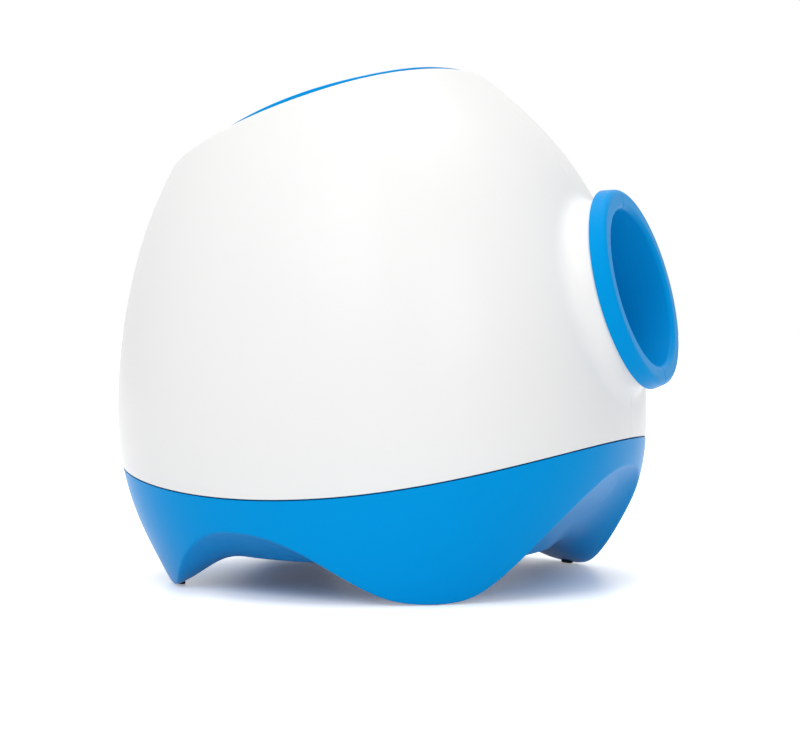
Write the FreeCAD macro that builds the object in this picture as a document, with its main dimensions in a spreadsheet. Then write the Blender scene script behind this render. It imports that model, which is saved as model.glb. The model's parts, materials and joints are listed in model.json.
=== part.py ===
import FreeCAD, Part
import math
import os
import re
import Sketcher

# Automatic dog ball launcher. Millimetres and degrees.
# World frame: +X is the way the ball flies, +Y is the launcher's left, +Z is up, z = 0 is the floor.
# Launch frame: the same axes tilted up by launch_angle, its origin the centre of the mouth's front face.

V = FreeCAD.Vector
FAR = 400.0  # beyond the launcher on every side, for tools that cut right through

# ----------------------------------------------------------------------------------------------------------
# Driving dimensions
# ----------------------------------------------------------------------------------------------------------

# Levels of the egg-shaped body: name, height, front, back, half width
BODY_LEVELS = [
    ("sole", 0.0, 120.0, -125.0, 133.0),
    ("skirt", 32.0, 130.0, -146.0, 137.0),
    ("seam", 62.0, 139.5, -158.0, 139.5),
    ("waist", 102.0, 142.5, -162.0, 142.0),
    ("chest", 152.0, 138.0, -157.5, 137.0),
    ("shoulder", 202.0, 121.0, -145.5, 124.0),
    ("brow", 242.0, 97.5, -127.5, 107.0),
    ("crown", 277.0, 64.0, -109.0, 87.0),
    ("peak", 302.0, 31.5, -101.5, 73.0),
]

DIMENSIONS = [
    # ball and its path
    ("ball_diameter", 67.0),
    ("path_clearance", 3.0),
    ("path_wall", 2.6),
    ("launch_angle", 14.25),
    ("feed_slope", 8.0),
    # body form
    ("plan_squareness", 2.2),
    ("plan_widest", 0.55),
    ("shell_wall", 3.0),
    ("half_gap", 0.12),
    ("seam_radius", 550.0),
    ("seam_low_x", -35.4),
    ("seam_low_z", 54.8),
    ("seam_gap", 0.7),
    ("register_height", 5.0),
    ("register_wall", 2.0),
    ("fit_gap", 0.3),
    # underside wave
    ("underside_height", 18.0),
    ("underside_inset", 36.0),
    ("floor_thickness", 4.2),
    ("sole_dip", 4.0),
    ("arch_sharpness", 1.45),
    ("front_arch_height", 64.5),
    ("front_arch_reach", 53.5),
    ("side_arch_height", 36.2),
    ("side_arch_angle", 109.0),
    ("side_arch_front_reach", 42.2),
    ("side_arch_back_reach", 27.8),
    ("back_arch_height", 47.0),
    ("back_arch_reach", 33.0),
    ("pad_angle_front", 60.0),
    ("pad_angle_back", 141.0),
    ("pad_length", 16.0),
    ("pad_width", 7.0),
    ("pad_height", 2.5),
    # top edge and funnel
    ("rim_back_x", -119.0),
    ("rim_back_z", 238.0),
    ("rim_front_x", 43.0),
    ("rim_front_z", 294.9),
    ("rim_bulge", 3.5),
    ("rim_round", 7.0),
    ("flange_centre_x", -37.0),
    ("flange_half_length", 75.5),
    ("flange_half_width", 75.0),
    ("flange_rise", 2.8),
    ("flange_width", 6.0),
    ("funnel_wall", 2.6),
    ("throat_x", -62.0),
    ("throat_top", 207.0),
    ("throat_bottom", 181.0),
    ("collar_overlap", 7.0),
    ("chute_foot_back", 46.0),
    ("chute_foot_front", 30.0),
    ("chute_foot_reach", 52.0),
    ("chute_foot_height", 4.0),
    # mouth and barrel
    ("mouth_x", 149.8),
    ("mouth_z", 168.8),
    ("mouth_radius", 55.2),
    ("mouth_depth", 9.6),
    ("lip_round", 1.2),
    ("lip_opening", 44.0),
    ("lip_inner_round", 2.2),
    ("barrel_bore", 38.5),
    ("barrel_flare", 34.0),
    ("barrel_collar", 45.5),
    ("barrel_length", 92.0),
    ("neck_step", 1.4),
    ("neck_flare", 12.0),
    ("neck_length", 18.5),
    ("lug_reach", 62.0),
    ("lug_height", 6.0),
    # launch deck
    ("deck_back", 246.0),
    ("deck_front", 84.0),
    ("deck_half_width", 84.0),
    ("deck_thickness", 4.0),
    ("deck_drop", 16.0),
    ("trough_back", 167.0),
    ("post_radius", 6.0),
    ("post_front_u", 100.0),
    ("post_front_v", 76.0),
    ("post_back_u", 236.0),
    ("post_back_v", 62.0),
    # throwing wheels
    ("wheel_u", 130.0),
    ("wheel_radius", 34.0),
    ("wheel_width", 24.0),
    ("wheel_nip", 58.0),
    ("tyre_depth", 10.0),
    ("tyre_round", 3.0),
    ("hub_web", 6.0),
    ("hub_boss_radius", 8.0),
    ("shaft_radius", 2.5),
    ("running_gap", 0.05),
    ("motor_radius", 18.0),
    ("motor_length", 50.0),
    ("motor_boss_radius", 6.5),
    ("motor_boss_height", 3.0),
    ("motor_screw_pitch", 12.5),
    # ball gate
    ("gate_u", 156.0),
    ("gate_w", 47.0),
    ("gate_length", 41.0),
    ("gate_half_width", 17.0),
    ("gate_thickness", 3.0),
    ("gate_hub_radius", 5.0),
    ("gate_pin_radius", 2.0),
    ("gate_pin_proud", 1.0),
    ("gear_side_gap", 1.5),
    ("gate_bush_radius", 4.0),
    ("gate_ear_v", 42.0),
    ("gate_ear_thickness", 3.5),
    ("gate_foot_length", 12.0),
    ("gate_foot_height", 3.0),
    ("gate_nose", 10.0),
    ("gate_bridge_width", 6.0),
    ("gate_leg_back", 176.0),
    ("gate_leg_front", 168.5),
    ("gate_ear_low", 36.0),
    ("gate_ear_high", 59.0),
    ("gear_module", 1.0),
    ("gear_teeth", 32.0),
    ("pinion_teeth", 16.0),
    ("gear_width", 5.0),
    ("gear_backlash", 0.3),
    ("gate_motor_radius", 10.0),
    ("gate_motor_length", 20.0),
    ("gate_shaft_radius", 1.5),
    # battery and its door
    ("door_x", -25.0),
    ("door_length", 110.0),
    ("door_width", 70.0),
    ("door_thickness", 2.4),
    ("door_ledge", 6.0),
    ("battery_height", 32.0),
    ("battery_clearance", 2.0),
    ("strap_width", 18.0),
    ("strap_thickness", 1.6),
    ("strap_foot", 14.0),
    # control panel
    ("panel_z", 138.0),
    ("panel_face_x", -161.9),
    ("panel_radius", 30.0),
    ("panel_flange", 5.0),
    ("panel_seat_x", -150.2),
    ("panel_thickness", 2.6),
    ("button_radius", 7.6),
    ("button_gap", 0.4),
    ("button_rise", 1.2),
    ("button_pitch", 24.0),
    ("button_travel", 1.5),
    ("button_stem_radius", 2.5),
    ("light_pipe_radius", 1.5),
    ("light_pipe_pitch", 9.0),
    ("inlet_radius", 4.0),
    ("inlet_bore", 2.8),
    ("inlet_length", 14.0),
    ("inlet_depth", 9.0),
    ("inlet_pin_radius", 0.9),
    ("control_board_x", -136.0),
    ("control_board_side", 56.0),
    ("board_thickness", 1.6),
    ("switch_side", 6.0),
    ("switch_height", 4.0),
    # main board
    ("main_board_x", 57.0),
    ("main_board_length", 42.0),
    ("main_board_width", 60.0),
    ("standoff_height", 6.0),
    ("standoff_radius", 3.5),
    # ball sensor
    ("sensor_height", 152.0),
    ("sensor_side", 12.0),
    ("sensor_depth", 8.0),
    ("sensor_lens_radius", 2.8),
    # fasteners
    ("screw_radius", 1.5),
    ("screw_head_radius", 2.9),
    ("screw_head_height", 2.0),
    ("lug_radius", 5.0),
    ("lug_length", 14.0),
    # wiring
    ("lead_radius", 1.6),
]

for level, height, front, back, half_width in BODY_LEVELS:
    DIMENSIONS.append((level + "_height", height))
    DIMENSIONS.append((level + "_front", front))
    DIMENSIONS.append((level + "_back", back))
    DIMENSIONS.append((level + "_half_width", half_width))

doc = FreeCAD.newDocument("ball_launcher")
sheet = doc.addObject("Spreadsheet::Sheet", "Dims")
for row, (alias, value) in enumerate(DIMENSIONS, 1):
    sheet.set(f"A{row}", alias)
    sheet.set(f"B{row}", str(value))
    sheet.setAlias(f"B{row}", alias)
doc.recompute()

ALIASES = {alias for alias, value in DIMENSIONS}

# ----------------------------------------------------------------------------------------------------------
# Helpers
# ----------------------------------------------------------------------------------------------------------


def size(expression):
    """Return the value of an expression written in the sheet's aliases."""
    return float(sheet.evalExpression(str(expression)))


def bind(item, target, expression):
    """Bind a property of an object to an expression written in the sheet's aliases."""
    def named(word):
        return "Dims." + word[0] if word[0] in ALIASES else word[0]

    item.setExpression(target, re.sub(r"[a-z]\w*", named, str(expression)))


def move(item, x=0, y=0, z=0):
    """Bind an object's position."""
    bind(item, "Placement.Base.x", x)
    bind(item, "Placement.Base.y", y)
    bind(item, "Placement.Base.z", z)


def box(name, x, y, z):
    """A Part::Box between the low and high ends given for each axis."""
    item = doc.addObject("Part::Box", name)
    for target, (low, high) in zip(("Length", "Width", "Height"), (x, y, z)):
        bind(item, target, f"({high}) - ({low})")
    move(item, x[0], y[0], z[0])
    return item


ALONG = {
    "X": FreeCAD.Rotation(V(0, 1, 0), 90),
    "Y": FreeCAD.Rotation(V(1, 0, 0), -90),
    "Z": FreeCAD.Rotation(),
}


def rod(name, radius, length, x=0, y=0, z=0, along="Z"):
    """A Part::Cylinder that starts at x, y, z and runs along one axis."""
    item = doc.addObject("Part::Cylinder", name)
    item.Placement = FreeCAD.Placement(V(), ALONG[along])
    bind(item, "Radius", radius)
    bind(item, "Height", length)
    move(item, x, y, z)
    return item


def fuse(name, *parts):
    """Join objects into one solid."""
    item = doc.addObject("Part::MultiFuse", name)
    item.Shapes = list(parts)
    return item


def together(name, *parts):
    """Hold objects that don't touch as one compound."""
    item = doc.addObject("Part::Compound", name)
    item.Links = list(parts)
    return item


def cut(name, base, *tools):
    """Take tools away from a base, one after another."""
    for number, tool in enumerate(tools, 1):
        item = doc.addObject("Part::Cut", name if number == len(tools) else f"{name}_step_{number}")
        item.Base = base
        item.Tool = tool
        base = item
    return base


def common(name, base, tool):
    """Keep what two objects share."""
    item = doc.addObject("Part::Common", name)
    item.Base = base
    item.Tool = tool
    return item


def feature(name, shape):
    """A Part::Feature that holds a shape made with Part's own functions."""
    item = doc.addObject("Part::Feature", name)
    item.Shape = shape
    return item


def to_launch(item, u=0, v=0, w=0):
    """Place an object modelled in the launch frame, moved by u, v and w along that frame's axes."""
    item.Placement = FreeCAD.Placement(V(), FreeCAD.Rotation(V(0, -1, 0), size("launch_angle")))
    bind(item, "Placement.Rotation.Angle", "launch_angle")
    move(
        item,
        f"mouth_x + ({u}) * cos(launch_angle) - ({w}) * sin(launch_angle)",
        v,
        f"mouth_z + ({u}) * sin(launch_angle) + ({w}) * cos(launch_angle)",
    )
    return item


def in_launch(item):
    """Carry an object that already has its own place in the launch frame into the world."""
    return to_launch(together(item.Name + "_carried", item))


def sketch_on(body, role, outline):
    """A closed sketch on one of the body's origin planes, each corner bound to a pair of expressions."""
    sketch = body.newObject("Sketcher::SketchObject", body.Name + "_outline")
    plane = next(item for item in body.Origin.OriginFeatures if item.Role == role)
    sketch.AttachmentSupport = [(plane, "")]
    sketch.MapMode = "FlatFace"
    corners = [(size(across), size(up)) for across, up in outline]
    for start, end in zip(corners, corners[1:] + corners[:1]):
        sketch.addGeometry(Part.LineSegment(V(*start, 0), V(*end, 0)))
    for index, (across, up) in enumerate(outline):
        before = (index - 1) % len(outline)
        sketch.addConstraint(Sketcher.Constraint("Coincident", before, 2, index, 1))
        for kind, expression, value in zip(("DistanceX", "DistanceY"), (across, up), corners[index]):
            number = sketch.addConstraint(Sketcher.Constraint(kind, -1, 1, index, 1, value))
            sketch.renameConstraint(number, f"{kind}_{index}")
            bind(sketch, f"Constraints.{kind}_{index}", expression)
    return sketch


def turned(name, outline):
    """A PartDesign body turned about its own Z axis from an outline of radius and height."""
    body = doc.addObject("PartDesign::Body", name)
    sketch = sketch_on(body, "XZ_Plane", outline)
    revolution = body.newObject("PartDesign::Revolution", name + "_turning")
    revolution.Profile = sketch
    revolution.ReferenceAxis = (sketch, ["V_Axis"])
    revolution.Angle = 360
    return body


def plate(name, outline, thickness, role="XY_Plane"):
    """A PartDesign body padded from an outline on one of its origin planes."""
    body = doc.addObject("PartDesign::Body", name)
    sketch = sketch_on(body, role, outline)
    pad = body.newObject("PartDesign::Pad", name + "_pad")
    pad.Profile = sketch
    bind(pad, "Length", thickness)
    return body


sub_parts = {}


def sub_part(label, item):
    """Name an object as one of the launcher's pieces."""
    item.Label = label
    sub_parts[label] = item
    return item


# ----------------------------------------------------------------------------------------------------------
# Body forms: lofted eggs, the wave underside and the two arcs that trim them
# ----------------------------------------------------------------------------------------------------------

OVAL_POINTS = 24


def oval(height, front, back, half_width, squareness, widest):
    """A closed superelliptic wire at a height, blunter towards the front."""
    centre = back + widest * (front - back)
    points = []
    for step in range(OVAL_POINTS):
        angle = 2 * math.pi * step / OVAL_POINTS
        reach = front - centre if math.cos(angle) > 0 else centre - back
        x = centre + reach * math.copysign(abs(math.cos(angle)) ** (2 / squareness), math.cos(angle))
        y = half_width * math.copysign(abs(math.sin(angle)) ** (2 / squareness), math.sin(angle))
        points.append(V(x, y, height))
    curve = Part.BSplineCurve()
    curve.interpolate(Points=points, PeriodicFlag=True)
    return Part.Wire([curve.toShape()])


def egg(inset):
    """The body's solid form, shrunk by an inset."""
    wires = []
    for level, *_ in BODY_LEVELS:
        wires.append(oval(
            size(level + "_height"),
            size(level + "_front") - inset,
            size(level + "_back") + inset,
            size(level + "_half_width") - inset,
            size("plan_squareness"),
            size("plan_widest"),
        ))
    return Part.makeLoft(wires, True, False)


def wave_height(angle):
    """Height of the underside's edge at an angle from the front, a little below the floor at the legs."""
    angle = abs((angle + 180) % 360 - 180)
    arches = [
        ("front_arch_height", 0, 0, "front_arch_reach"),
        ("side_arch_height", "side_arch_angle", "side_arch_front_reach", "side_arch_back_reach"),
        ("back_arch_height", 180, "back_arch_reach", 0),
    ]
    height = -size("sole_dip")
    for crown, middle, reach_before, reach_after in arches:
        offset = angle - size(middle)
        reach = size(reach_after) if offset > 0 or not size(reach_before) else size(reach_before)
        share = min(abs(offset) / reach, 1.0)
        rise = 0.5 * (1 + math.cos(math.pi * share ** size("arch_sharpness")))
        height += (size(crown) + size("sole_dip")) * rise
    return height


def body_radius(angle, height, inset):
    """Distance from the Z axis to the body's wall, by linear steps between the levels."""
    tails = ("_height", "_front", "_back", "_half_width")
    rows = [[size(level + tail) for tail in tails] for level, *_ in BODY_LEVELS]
    low, high = next((a, b) for a, b in zip(rows, rows[1:]) if b[0] >= height)
    share = (height - low[0]) / (high[0] - low[0])
    front, back, half_width = (a + share * (b - a) for a, b in zip(low[1:], high[1:]))
    front, back, half_width = front - inset, back + inset, half_width - inset
    centre = back + size("plan_widest") * (front - back)
    power = size("plan_squareness")
    near, far = 0.0, 400.0
    while far - near > 0.01:
        middle = (near + far) / 2
        x = middle * math.cos(math.radians(angle)) - centre
        y = middle * math.sin(math.radians(angle))
        reach = front - centre if x > 0 else centre - back
        inside = abs(x / reach) ** power + abs(y / half_width) ** power < 1
        near, far = (middle, far) if inside else (near, middle)
    return near


def closed_curve(points):
    """A smooth closed edge through points."""
    curve = Part.BSplineCurve()
    curve.interpolate(Points=points, PeriodicFlag=True)
    return curve.toShape()


WAVE_STEP = 5
WAVE_OVERSHOOT = 0.35
BELOW_FLOOR = -60.0


def wave_cutter(raised):
    """The space under the wave-edged skirt and flat belly; raised by a thickness, it is flat in the legs."""
    edge_points = []
    belly_points = []
    for angle in range(-180, 180, WAVE_STEP):
        height = wave_height(angle)
        if raised:
            height = max(height, 0.0)
        ray = V(math.cos(math.radians(angle)), math.sin(math.radians(angle)), 0)
        edge = ray * body_radius(angle, height, 0) + V(0, 0, height)
        belly = ray * body_radius(angle, size("underside_height"), size("underside_inset"))
        belly = belly + V(0, 0, size("underside_height"))
        edge_points.append(edge + (edge - belly) * WAVE_OVERSHOOT + V(0, 0, raised))
        belly_points.append(belly + V(0, 0, raised))
    skirt_edge = closed_curve(edge_points)
    belly_edge = closed_curve(belly_points)
    foot_edge = closed_curve([V(point.x, point.y, BELOW_FLOOR) for point in edge_points])
    faces = [
        Part.makeRuledSurface(belly_edge, skirt_edge),
        Part.makeRuledSurface(skirt_edge, foot_edge),
        Part.Face(Part.Wire([belly_edge])),
        Part.Face(Part.Wire([foot_edge])),
    ]
    shell = Part.Shell([face for part in faces for face in part.Faces])
    shell.sewShape()
    solid = Part.Solid(shell)
    if solid.Volume < 0:
        solid.reverse()
    return solid


def seam_cylinder(name, offset):
    """Solid above the seam between shells and base, grown by an offset."""
    return rod(name, f"seam_radius + {offset}", 2 * FAR, "seam_low_x", -FAR, "seam_low_z + seam_radius", "Y")


def rim_arc():
    """Radius and centre of the arc that the top edge follows, seen from the side."""
    back = V(size("rim_back_x"), 0, size("rim_back_z"))
    front = V(size("rim_front_x"), 0, size("rim_front_z"))
    chord = (front - back).Length
    bulge = size("rim_bulge")
    radius = (chord ** 2 / 4 + bulge ** 2) / (2 * bulge)
    along = (front - back).normalize()
    inward = V(along.z, 0, -along.x)
    centre = (front + back) * 0.5 + inward * (radius - bulge)
    return radius, centre


def rim_cylinder(name, offset):
    """Solid below the top edge's arc, grown by an offset."""
    radius, centre = rim_arc()
    start = centre - V(0, FAR, 0)
    return feature(name, Part.makeCylinder(radius + offset, 2 * FAR, start, V(0, 1, 0)))


body_outer = feature("body_outer", egg(0))
body_inner = feature("body_inner", egg(size("shell_wall")))
register_outer = feature("register_outer", egg(size("shell_wall + fit_gap")))
register_inner = feature("register_inner", egg(size("shell_wall + fit_gap + register_wall")))
wave_outside = feature("wave_outside", wave_cutter(0))
wave_inside = feature("wave_inside", wave_cutter(size("floor_thickness")))

# ----------------------------------------------------------------------------------------------------------
# Fasteners and leads
# ----------------------------------------------------------------------------------------------------------


def launch_point(u, v, w):
    """World point of a launch-frame point given as expressions."""
    tilt = math.radians(size("launch_angle"))
    u, v, w = size(u), size(v), size(w)
    return V(
        size("mouth_x") + u * math.cos(tilt) - w * math.sin(tilt),
        v,
        size("mouth_z") + u * math.sin(tilt) + w * math.cos(tilt),
    )


def launch_direction(u, w):
    """World direction of a launch-frame direction in its middle plane."""
    tilt = math.radians(size("launch_angle"))
    return V(u * math.cos(tilt) - w * math.sin(tilt), 0, u * math.sin(tilt) + w * math.cos(tilt))


def screws(label, length, places):
    """One node of like screws, each given by the point under its head and the way it is driven."""
    solids = []
    for seat, drive in places:
        head = Part.makeCylinder(size("screw_head_radius"), size("screw_head_height"), seat, drive * -1)
        shank = Part.makeCylinder(size("screw_radius"), size(length), seat, drive)
        solids.append(head.fuse(shank).removeSplitter())
    return sub_part(label, feature(label, Part.makeCompound(solids)))


LEAD_BEND = 0.45


def lead(points):
    """A wire tube along straight runs joined by tangent arcs."""
    edges = []
    start = points[0]
    for before, corner, after in zip(points, points[1:], points[2:]):
        back = before - corner
        on = after - corner
        shorter = min(back.Length, on.Length)
        back.normalize()
        on.normalize()
        turn = math.pi - math.acos(max(-1.0, min(1.0, back.dot(on))))
        tangent = LEAD_BEND * shorter
        radius = tangent / math.tan(turn / 2)
        enter = corner + back * tangent
        leave = corner + on * tangent
        centre_way = (back + on).normalize()
        centre = corner + centre_way * (radius / math.cos(turn / 2))
        middle = centre - centre_way * radius
        edges.append(Part.LineSegment(start, enter).toShape())
        edges.append(Part.Arc(enter, middle, leave).toShape())
        start = leave
    edges.append(Part.LineSegment(start, points[-1]).toShape())
    path = Part.Wire(edges)
    section = Part.Wire([Part.makeCircle(size("lead_radius"), points[0], points[1] - points[0])])
    return path.makePipeShell([section], True, True)


# ----------------------------------------------------------------------------------------------------------
# Mouth and barrel, in two halves that meet on the launcher's middle plane
# ----------------------------------------------------------------------------------------------------------


def turned_on_launch(name, edges):
    """A solid turned about the launch axis from edges drawn along u and outwards."""
    face = Part.Face(Part.Wire(edges))
    return feature(name, face.revolve(V(), V(1, 0, 0), 360))


def at(u, radius):
    """A point of an outline to be turned about the launch axis."""
    return V(u, 0, radius)


def line(start, end):
    """A straight edge."""
    return Part.LineSegment(start, end).toShape()


def arc(start, middle, end):
    """An arc through three points."""
    return Part.Arc(start, middle, end).toShape()


FLARE_SAG = 0.3


def barrel_form():
    """Mouth ring and barrel tube in one turned solid."""
    ring = size("mouth_radius")
    lip = size("lip_round")
    inner_lip = size("lip_inner_round")
    opening = size("lip_opening")
    bore = size("barrel_bore")
    tube = size("barrel_bore + path_wall")
    collar = size("barrel_collar")
    back = -size("mouth_depth")
    end = -size("barrel_length")
    crest = opening + inner_lip
    diagonal = math.sqrt(0.5)
    flare_end = at(-inner_lip, opening)
    flare_start = at(-size("barrel_flare"), bore)
    flare_middle = at((flare_end.x + flare_start.x) / 2, bore + FLARE_SAG * (opening - bore))
    return turned_on_launch("barrel_form", [
        line(at(end, bore), flare_start),
        arc(flare_start, flare_middle, flare_end),
        arc(flare_end, at(-inner_lip * (1 - diagonal), crest - inner_lip * diagonal), at(0, crest)),
        line(at(0, crest), at(0, ring - lip)),
        arc(at(0, ring - lip), at(-lip * (1 - diagonal), ring - lip * (1 - diagonal)), at(-lip, ring)),
        line(at(-lip, ring), at(back, ring)),
        line(at(back, ring), at(back, collar)),
        line(at(back, collar), at(flare_start.x, tube)),
        line(at(flare_start.x, tube), at(end, tube)),
        line(at(end, tube), at(end, bore)),
    ])


def half(name, whole, side):
    """The left (+1) or right (-1) half of an object, a hair short of the middle plane."""
    ends = ("half_gap", FAR) if side > 0 else (-FAR, "-half_gap")
    return common(name, whole, box(name + "_side", (-FAR, FAR), ends, (-FAR, FAR)))


barrel = barrel_form()
deck_top = "-deck_drop"
lug_screw_v = "(lug_reach + barrel_bore + path_wall) / 2"
lug_middle_u = "-(barrel_length + deck_front) / 2"
barrel_screws = screws("barrel_screws", "lug_height + deck_thickness", [
    (launch_point(lug_middle_u, f"{side} * {lug_screw_v}", f"{deck_top} + lug_height"),
     launch_direction(0, -1))
    for side in (1, -1)
])
barrel_bore_tool = rod("barrel_lug_bore", "barrel_bore + path_wall / 2", "barrel_length",
                       "-barrel_length", 0, 0, "X")
for side, hand in ((1, "left"), (-1, "right")):
    reach = ("0", "lug_reach") if side > 0 else ("-lug_reach", "0")
    lug = box(f"barrel_lug_{hand}", ("-barrel_length", "-deck_front"), reach,
              (deck_top, f"{deck_top} + lug_height"))
    lug = cut(f"barrel_lug_trimmed_{hand}", lug, barrel_bore_tool)
    whole = fuse(f"barrel_with_lug_{hand}", barrel, lug)
    barrel_half = to_launch(half(f"barrel_half_{hand}", whole, side))
    sub_part(f"barrel_{hand}", cut(f"barrel_drilled_{hand}", barrel_half, barrel_screws))

# ----------------------------------------------------------------------------------------------------------
# White shells
# ----------------------------------------------------------------------------------------------------------

NECK_ROOT = 60.0
QUARTER_PULL = 0.5523


def neck_form(name, inset):
    """The short neck behind the mouth ring, flared like a quarter of an ellipse."""
    face_u = -size("mouth_depth + seam_gap / 2") - inset
    root_u = face_u - size("neck_length")
    radius = size("mouth_radius - neck_step") - inset
    root_radius = radius + size("neck_flare")
    flare = Part.BezierCurve()
    flare.setPoles([
        at(face_u, radius),
        at(face_u + QUARTER_PULL * (root_u - face_u), radius),
        at(root_u, root_radius - QUARTER_PULL * (root_radius - radius)),
        at(root_u, root_radius),
    ])
    return to_launch(turned_on_launch(name, [
        line(at(-NECK_ROOT, 0), at(face_u, 0)),
        line(at(face_u, 0), at(face_u, radius)),
        flare.toShape(),
        line(at(root_u, root_radius), at(-NECK_ROOT, root_radius)),
        line(at(-NECK_ROOT, root_radius), at(-NECK_ROOT, 0)),
    ]))


def funnel_opening(name, inset, low, high):
    """An upright oval prism inside the funnel's flange."""
    wires = [
        oval(
            height,
            size("flange_centre_x + flange_half_length") - inset,
            size("flange_centre_x - flange_half_length") + inset,
            size("flange_half_width") - inset,
            2.0,
            0.5,
        )
        for height in (low, high)
    ]
    return feature(name, Part.makeLoft(wires, True, True))


def wall_x(height, side):
    """The inner wall's front (+1) or back (-1) on the middle plane, at a height."""
    angle = 0 if side > 0 else 180
    return side * body_radius(angle, height, size("shell_wall"))


FUNNEL_LOW = 190.0
FUNNEL_HIGH = 330.0

neck_outer = neck_form("neck_outer", 0)
neck_inner = neck_form("neck_inner", size("shell_wall"))
shell_form = fuse("shell_form", body_outer, neck_outer)
shell_form = common("shell_over_seam", shell_form, seam_cylinder("seam_shell_arc", 0))
shell_form = common("shell_under_rim", shell_form, rim_cylinder("rim_shell_arc", 0))
shell_space = fuse("shell_space", body_inner, neck_inner)
shell_space = common("shell_space_under_rim", shell_space, rim_cylinder("rim_space_arc", -size("shell_wall")))
flange_bearing = size("flange_width - funnel_wall - fit_gap")
shell_opening = funnel_opening("shell_top_opening", flange_bearing, FUNNEL_LOW, FUNNEL_HIGH)
mouth_opening = in_launch(rod("mouth_opening", "barrel_collar + fit_gap", NECK_ROOT, -NECK_ROOT, 0, 0, "X"))


def rounded(name, item, radius, chosen):
    """Round the edges of an object's shape that a test chooses."""
    shape = item.Shape
    edges = [edge for edge in shape.Edges if chosen(edge)]
    return feature(name, shape.makeFillet(size(radius), edges))


def on_rim_arc(edge, offset):
    """Whether an edge lies on the top arc, or on one an offset above it."""
    radius, centre = rim_arc()
    for share in (0.1, 0.5, 0.9):
        point = edge.valueAt(edge.FirstParameter + share * (edge.LastParameter - edge.FirstParameter))
        if abs(math.hypot(point.x - centre.x, point.z - centre.z) - radius - offset) > 0.05:
            return False
    return True


doc.recompute()
shell_rounded = rounded("shell_rounded", shell_form, "rim_round", lambda edge: on_rim_arc(edge, 0))
PANEL_TOOL = 40.0
panel_tool_start = "panel_face_x - 5"
panel_opening = rod("panel_opening", "panel_radius + fit_gap", PANEL_TOOL, panel_tool_start, 0,
                    "panel_z", "X")
shell_hollow = cut("shell_hollow", shell_rounded, shell_space, shell_opening, mouth_opening, panel_opening)

LUG_SINK = 1.5
SEAM_LUGS = (("back_high", -1, 205.0), ("back_low", -1, 96.0), ("front_low", 1, 101.0))
lugs = []
lug_screw_places = []
for lug_name, lug_side, lug_z in SEAM_LUGS:
    lug_x = wall_x(lug_z, lug_side) - lug_side * (size("lug_radius") - LUG_SINK)
    lugs.append(rod(f"lug_{lug_name}", "lug_radius", "lug_length", lug_x, "-lug_length / 2", lug_z, "Y"))
    lug_screw_places.append((V(lug_x, -size("lug_length") / 2, lug_z), V(0, 1, 0)))
shell_screws = screws("shell_screws", "lug_length - 3", lug_screw_places)
shell_lugs = common("shell_lugs", fuse("lugs", *lugs), body_outer)
shell_whole = fuse("shell_whole", shell_hollow, shell_lugs)
for side, hand in ((1, "left"), (-1, "right")):
    shell_half = half(f"shell_half_{hand}", shell_whole, side)
    sub_part(f"shell_{hand}", cut(f"shell_drilled_{hand}", shell_half, shell_screws))

# ----------------------------------------------------------------------------------------------------------
# Blue base, with its register lip, deck posts, standoffs and door opening
# ----------------------------------------------------------------------------------------------------------

floor_top = "underside_height + floor_thickness"
base_blank = cut("base_blank", body_outer, seam_cylinder("seam_base_arc", "seam_gap"), wave_outside)
base_cavity = cut("base_cavity", body_inner, wave_inside)
base_wall = cut("base_wall", base_blank, base_cavity)

lip_ring = cut("lip_ring", register_outer, register_inner)
lip_above = common("lip_above", lip_ring, seam_cylinder("lip_arc_mid", "seam_gap + 0.5"))
lip_above = cut("lip_above_trimmed", lip_above, seam_cylinder("lip_arc_top", "-register_height"))
lip_root = cut("lip_root_ring", body_outer, register_inner)
lip_root = common("lip_root_low", lip_root, seam_cylinder("lip_arc_low", "seam_gap + register_height"))
lip_root = cut("lip_root", lip_root, seam_cylinder("lip_arc_seam", "seam_gap"))

POST_LENGTH = 140.0
post_places = [
    (u, f"{side} * {v}")
    for u, v in (("-post_front_u", "post_front_v"), ("-post_back_u", "post_back_v"))
    for side in (1, -1)
]
post_top = "-deck_drop - deck_thickness"
posts = [
    to_launch(rod(f"deck_post_{index}", "post_radius", POST_LENGTH), u, v, f"{post_top} - {POST_LENGTH}")
    for index, (u, v) in enumerate(post_places)
]
posts = common("deck_posts_inside", fuse("deck_posts_long", *posts), body_inner)
posts = cut("deck_posts", posts, wave_outside)

standoff_places = [
    (f"main_board_x + {along} * (main_board_length / 2 - 4)", f"{across} * (main_board_width / 2 - 4)")
    for along in (1, -1)
    for across in (1, -1)
]
standoffs = [
    rod(f"standoff_{index}", "standoff_radius", "standoff_height + 1", x, y, f"{floor_top} - 1")
    for index, (x, y) in enumerate(standoff_places)
]

door_low = ("door_x - door_length / 2", "door_x + door_length / 2")
door_side = ("-door_width / 2", "door_width / 2")


def grown(ends, by):
    """A pair of ends, each moved outwards."""
    return (f"{ends[0]} - ({by})", f"{ends[1]} + ({by})")


door_seat = box("door_seat", grown(door_low, "fit_gap"), grown(door_side, "fit_gap"),
                ("underside_height - 5", "underside_height + door_thickness"))
door_hole = box("door_hole", grown(door_low, "-door_ledge"), grown(door_side, "-door_ledge"),
                ("underside_height - 5", "underside_height + 20"))

door_screw_places = [
    V(size(f"door_x + {along} * (door_length / 2 - door_ledge / 2)"),
      size(f"{across} * (door_width / 2 - door_ledge / 2)"),
      size("underside_height + door_thickness / 2"))
    for along in (1, -1)
    for across in (1, -1)
]


def countersunk(place, length):
    """A flat-headed screw driven upwards, its face level with the underside."""
    depth = size("door_thickness / 2")
    head = Part.makeCone(size("screw_head_radius"), size("screw_radius"), depth, place - V(0, 0, depth))
    return head.fuse(Part.makeCylinder(size("screw_radius"), length, place)).removeSplitter()


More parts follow.
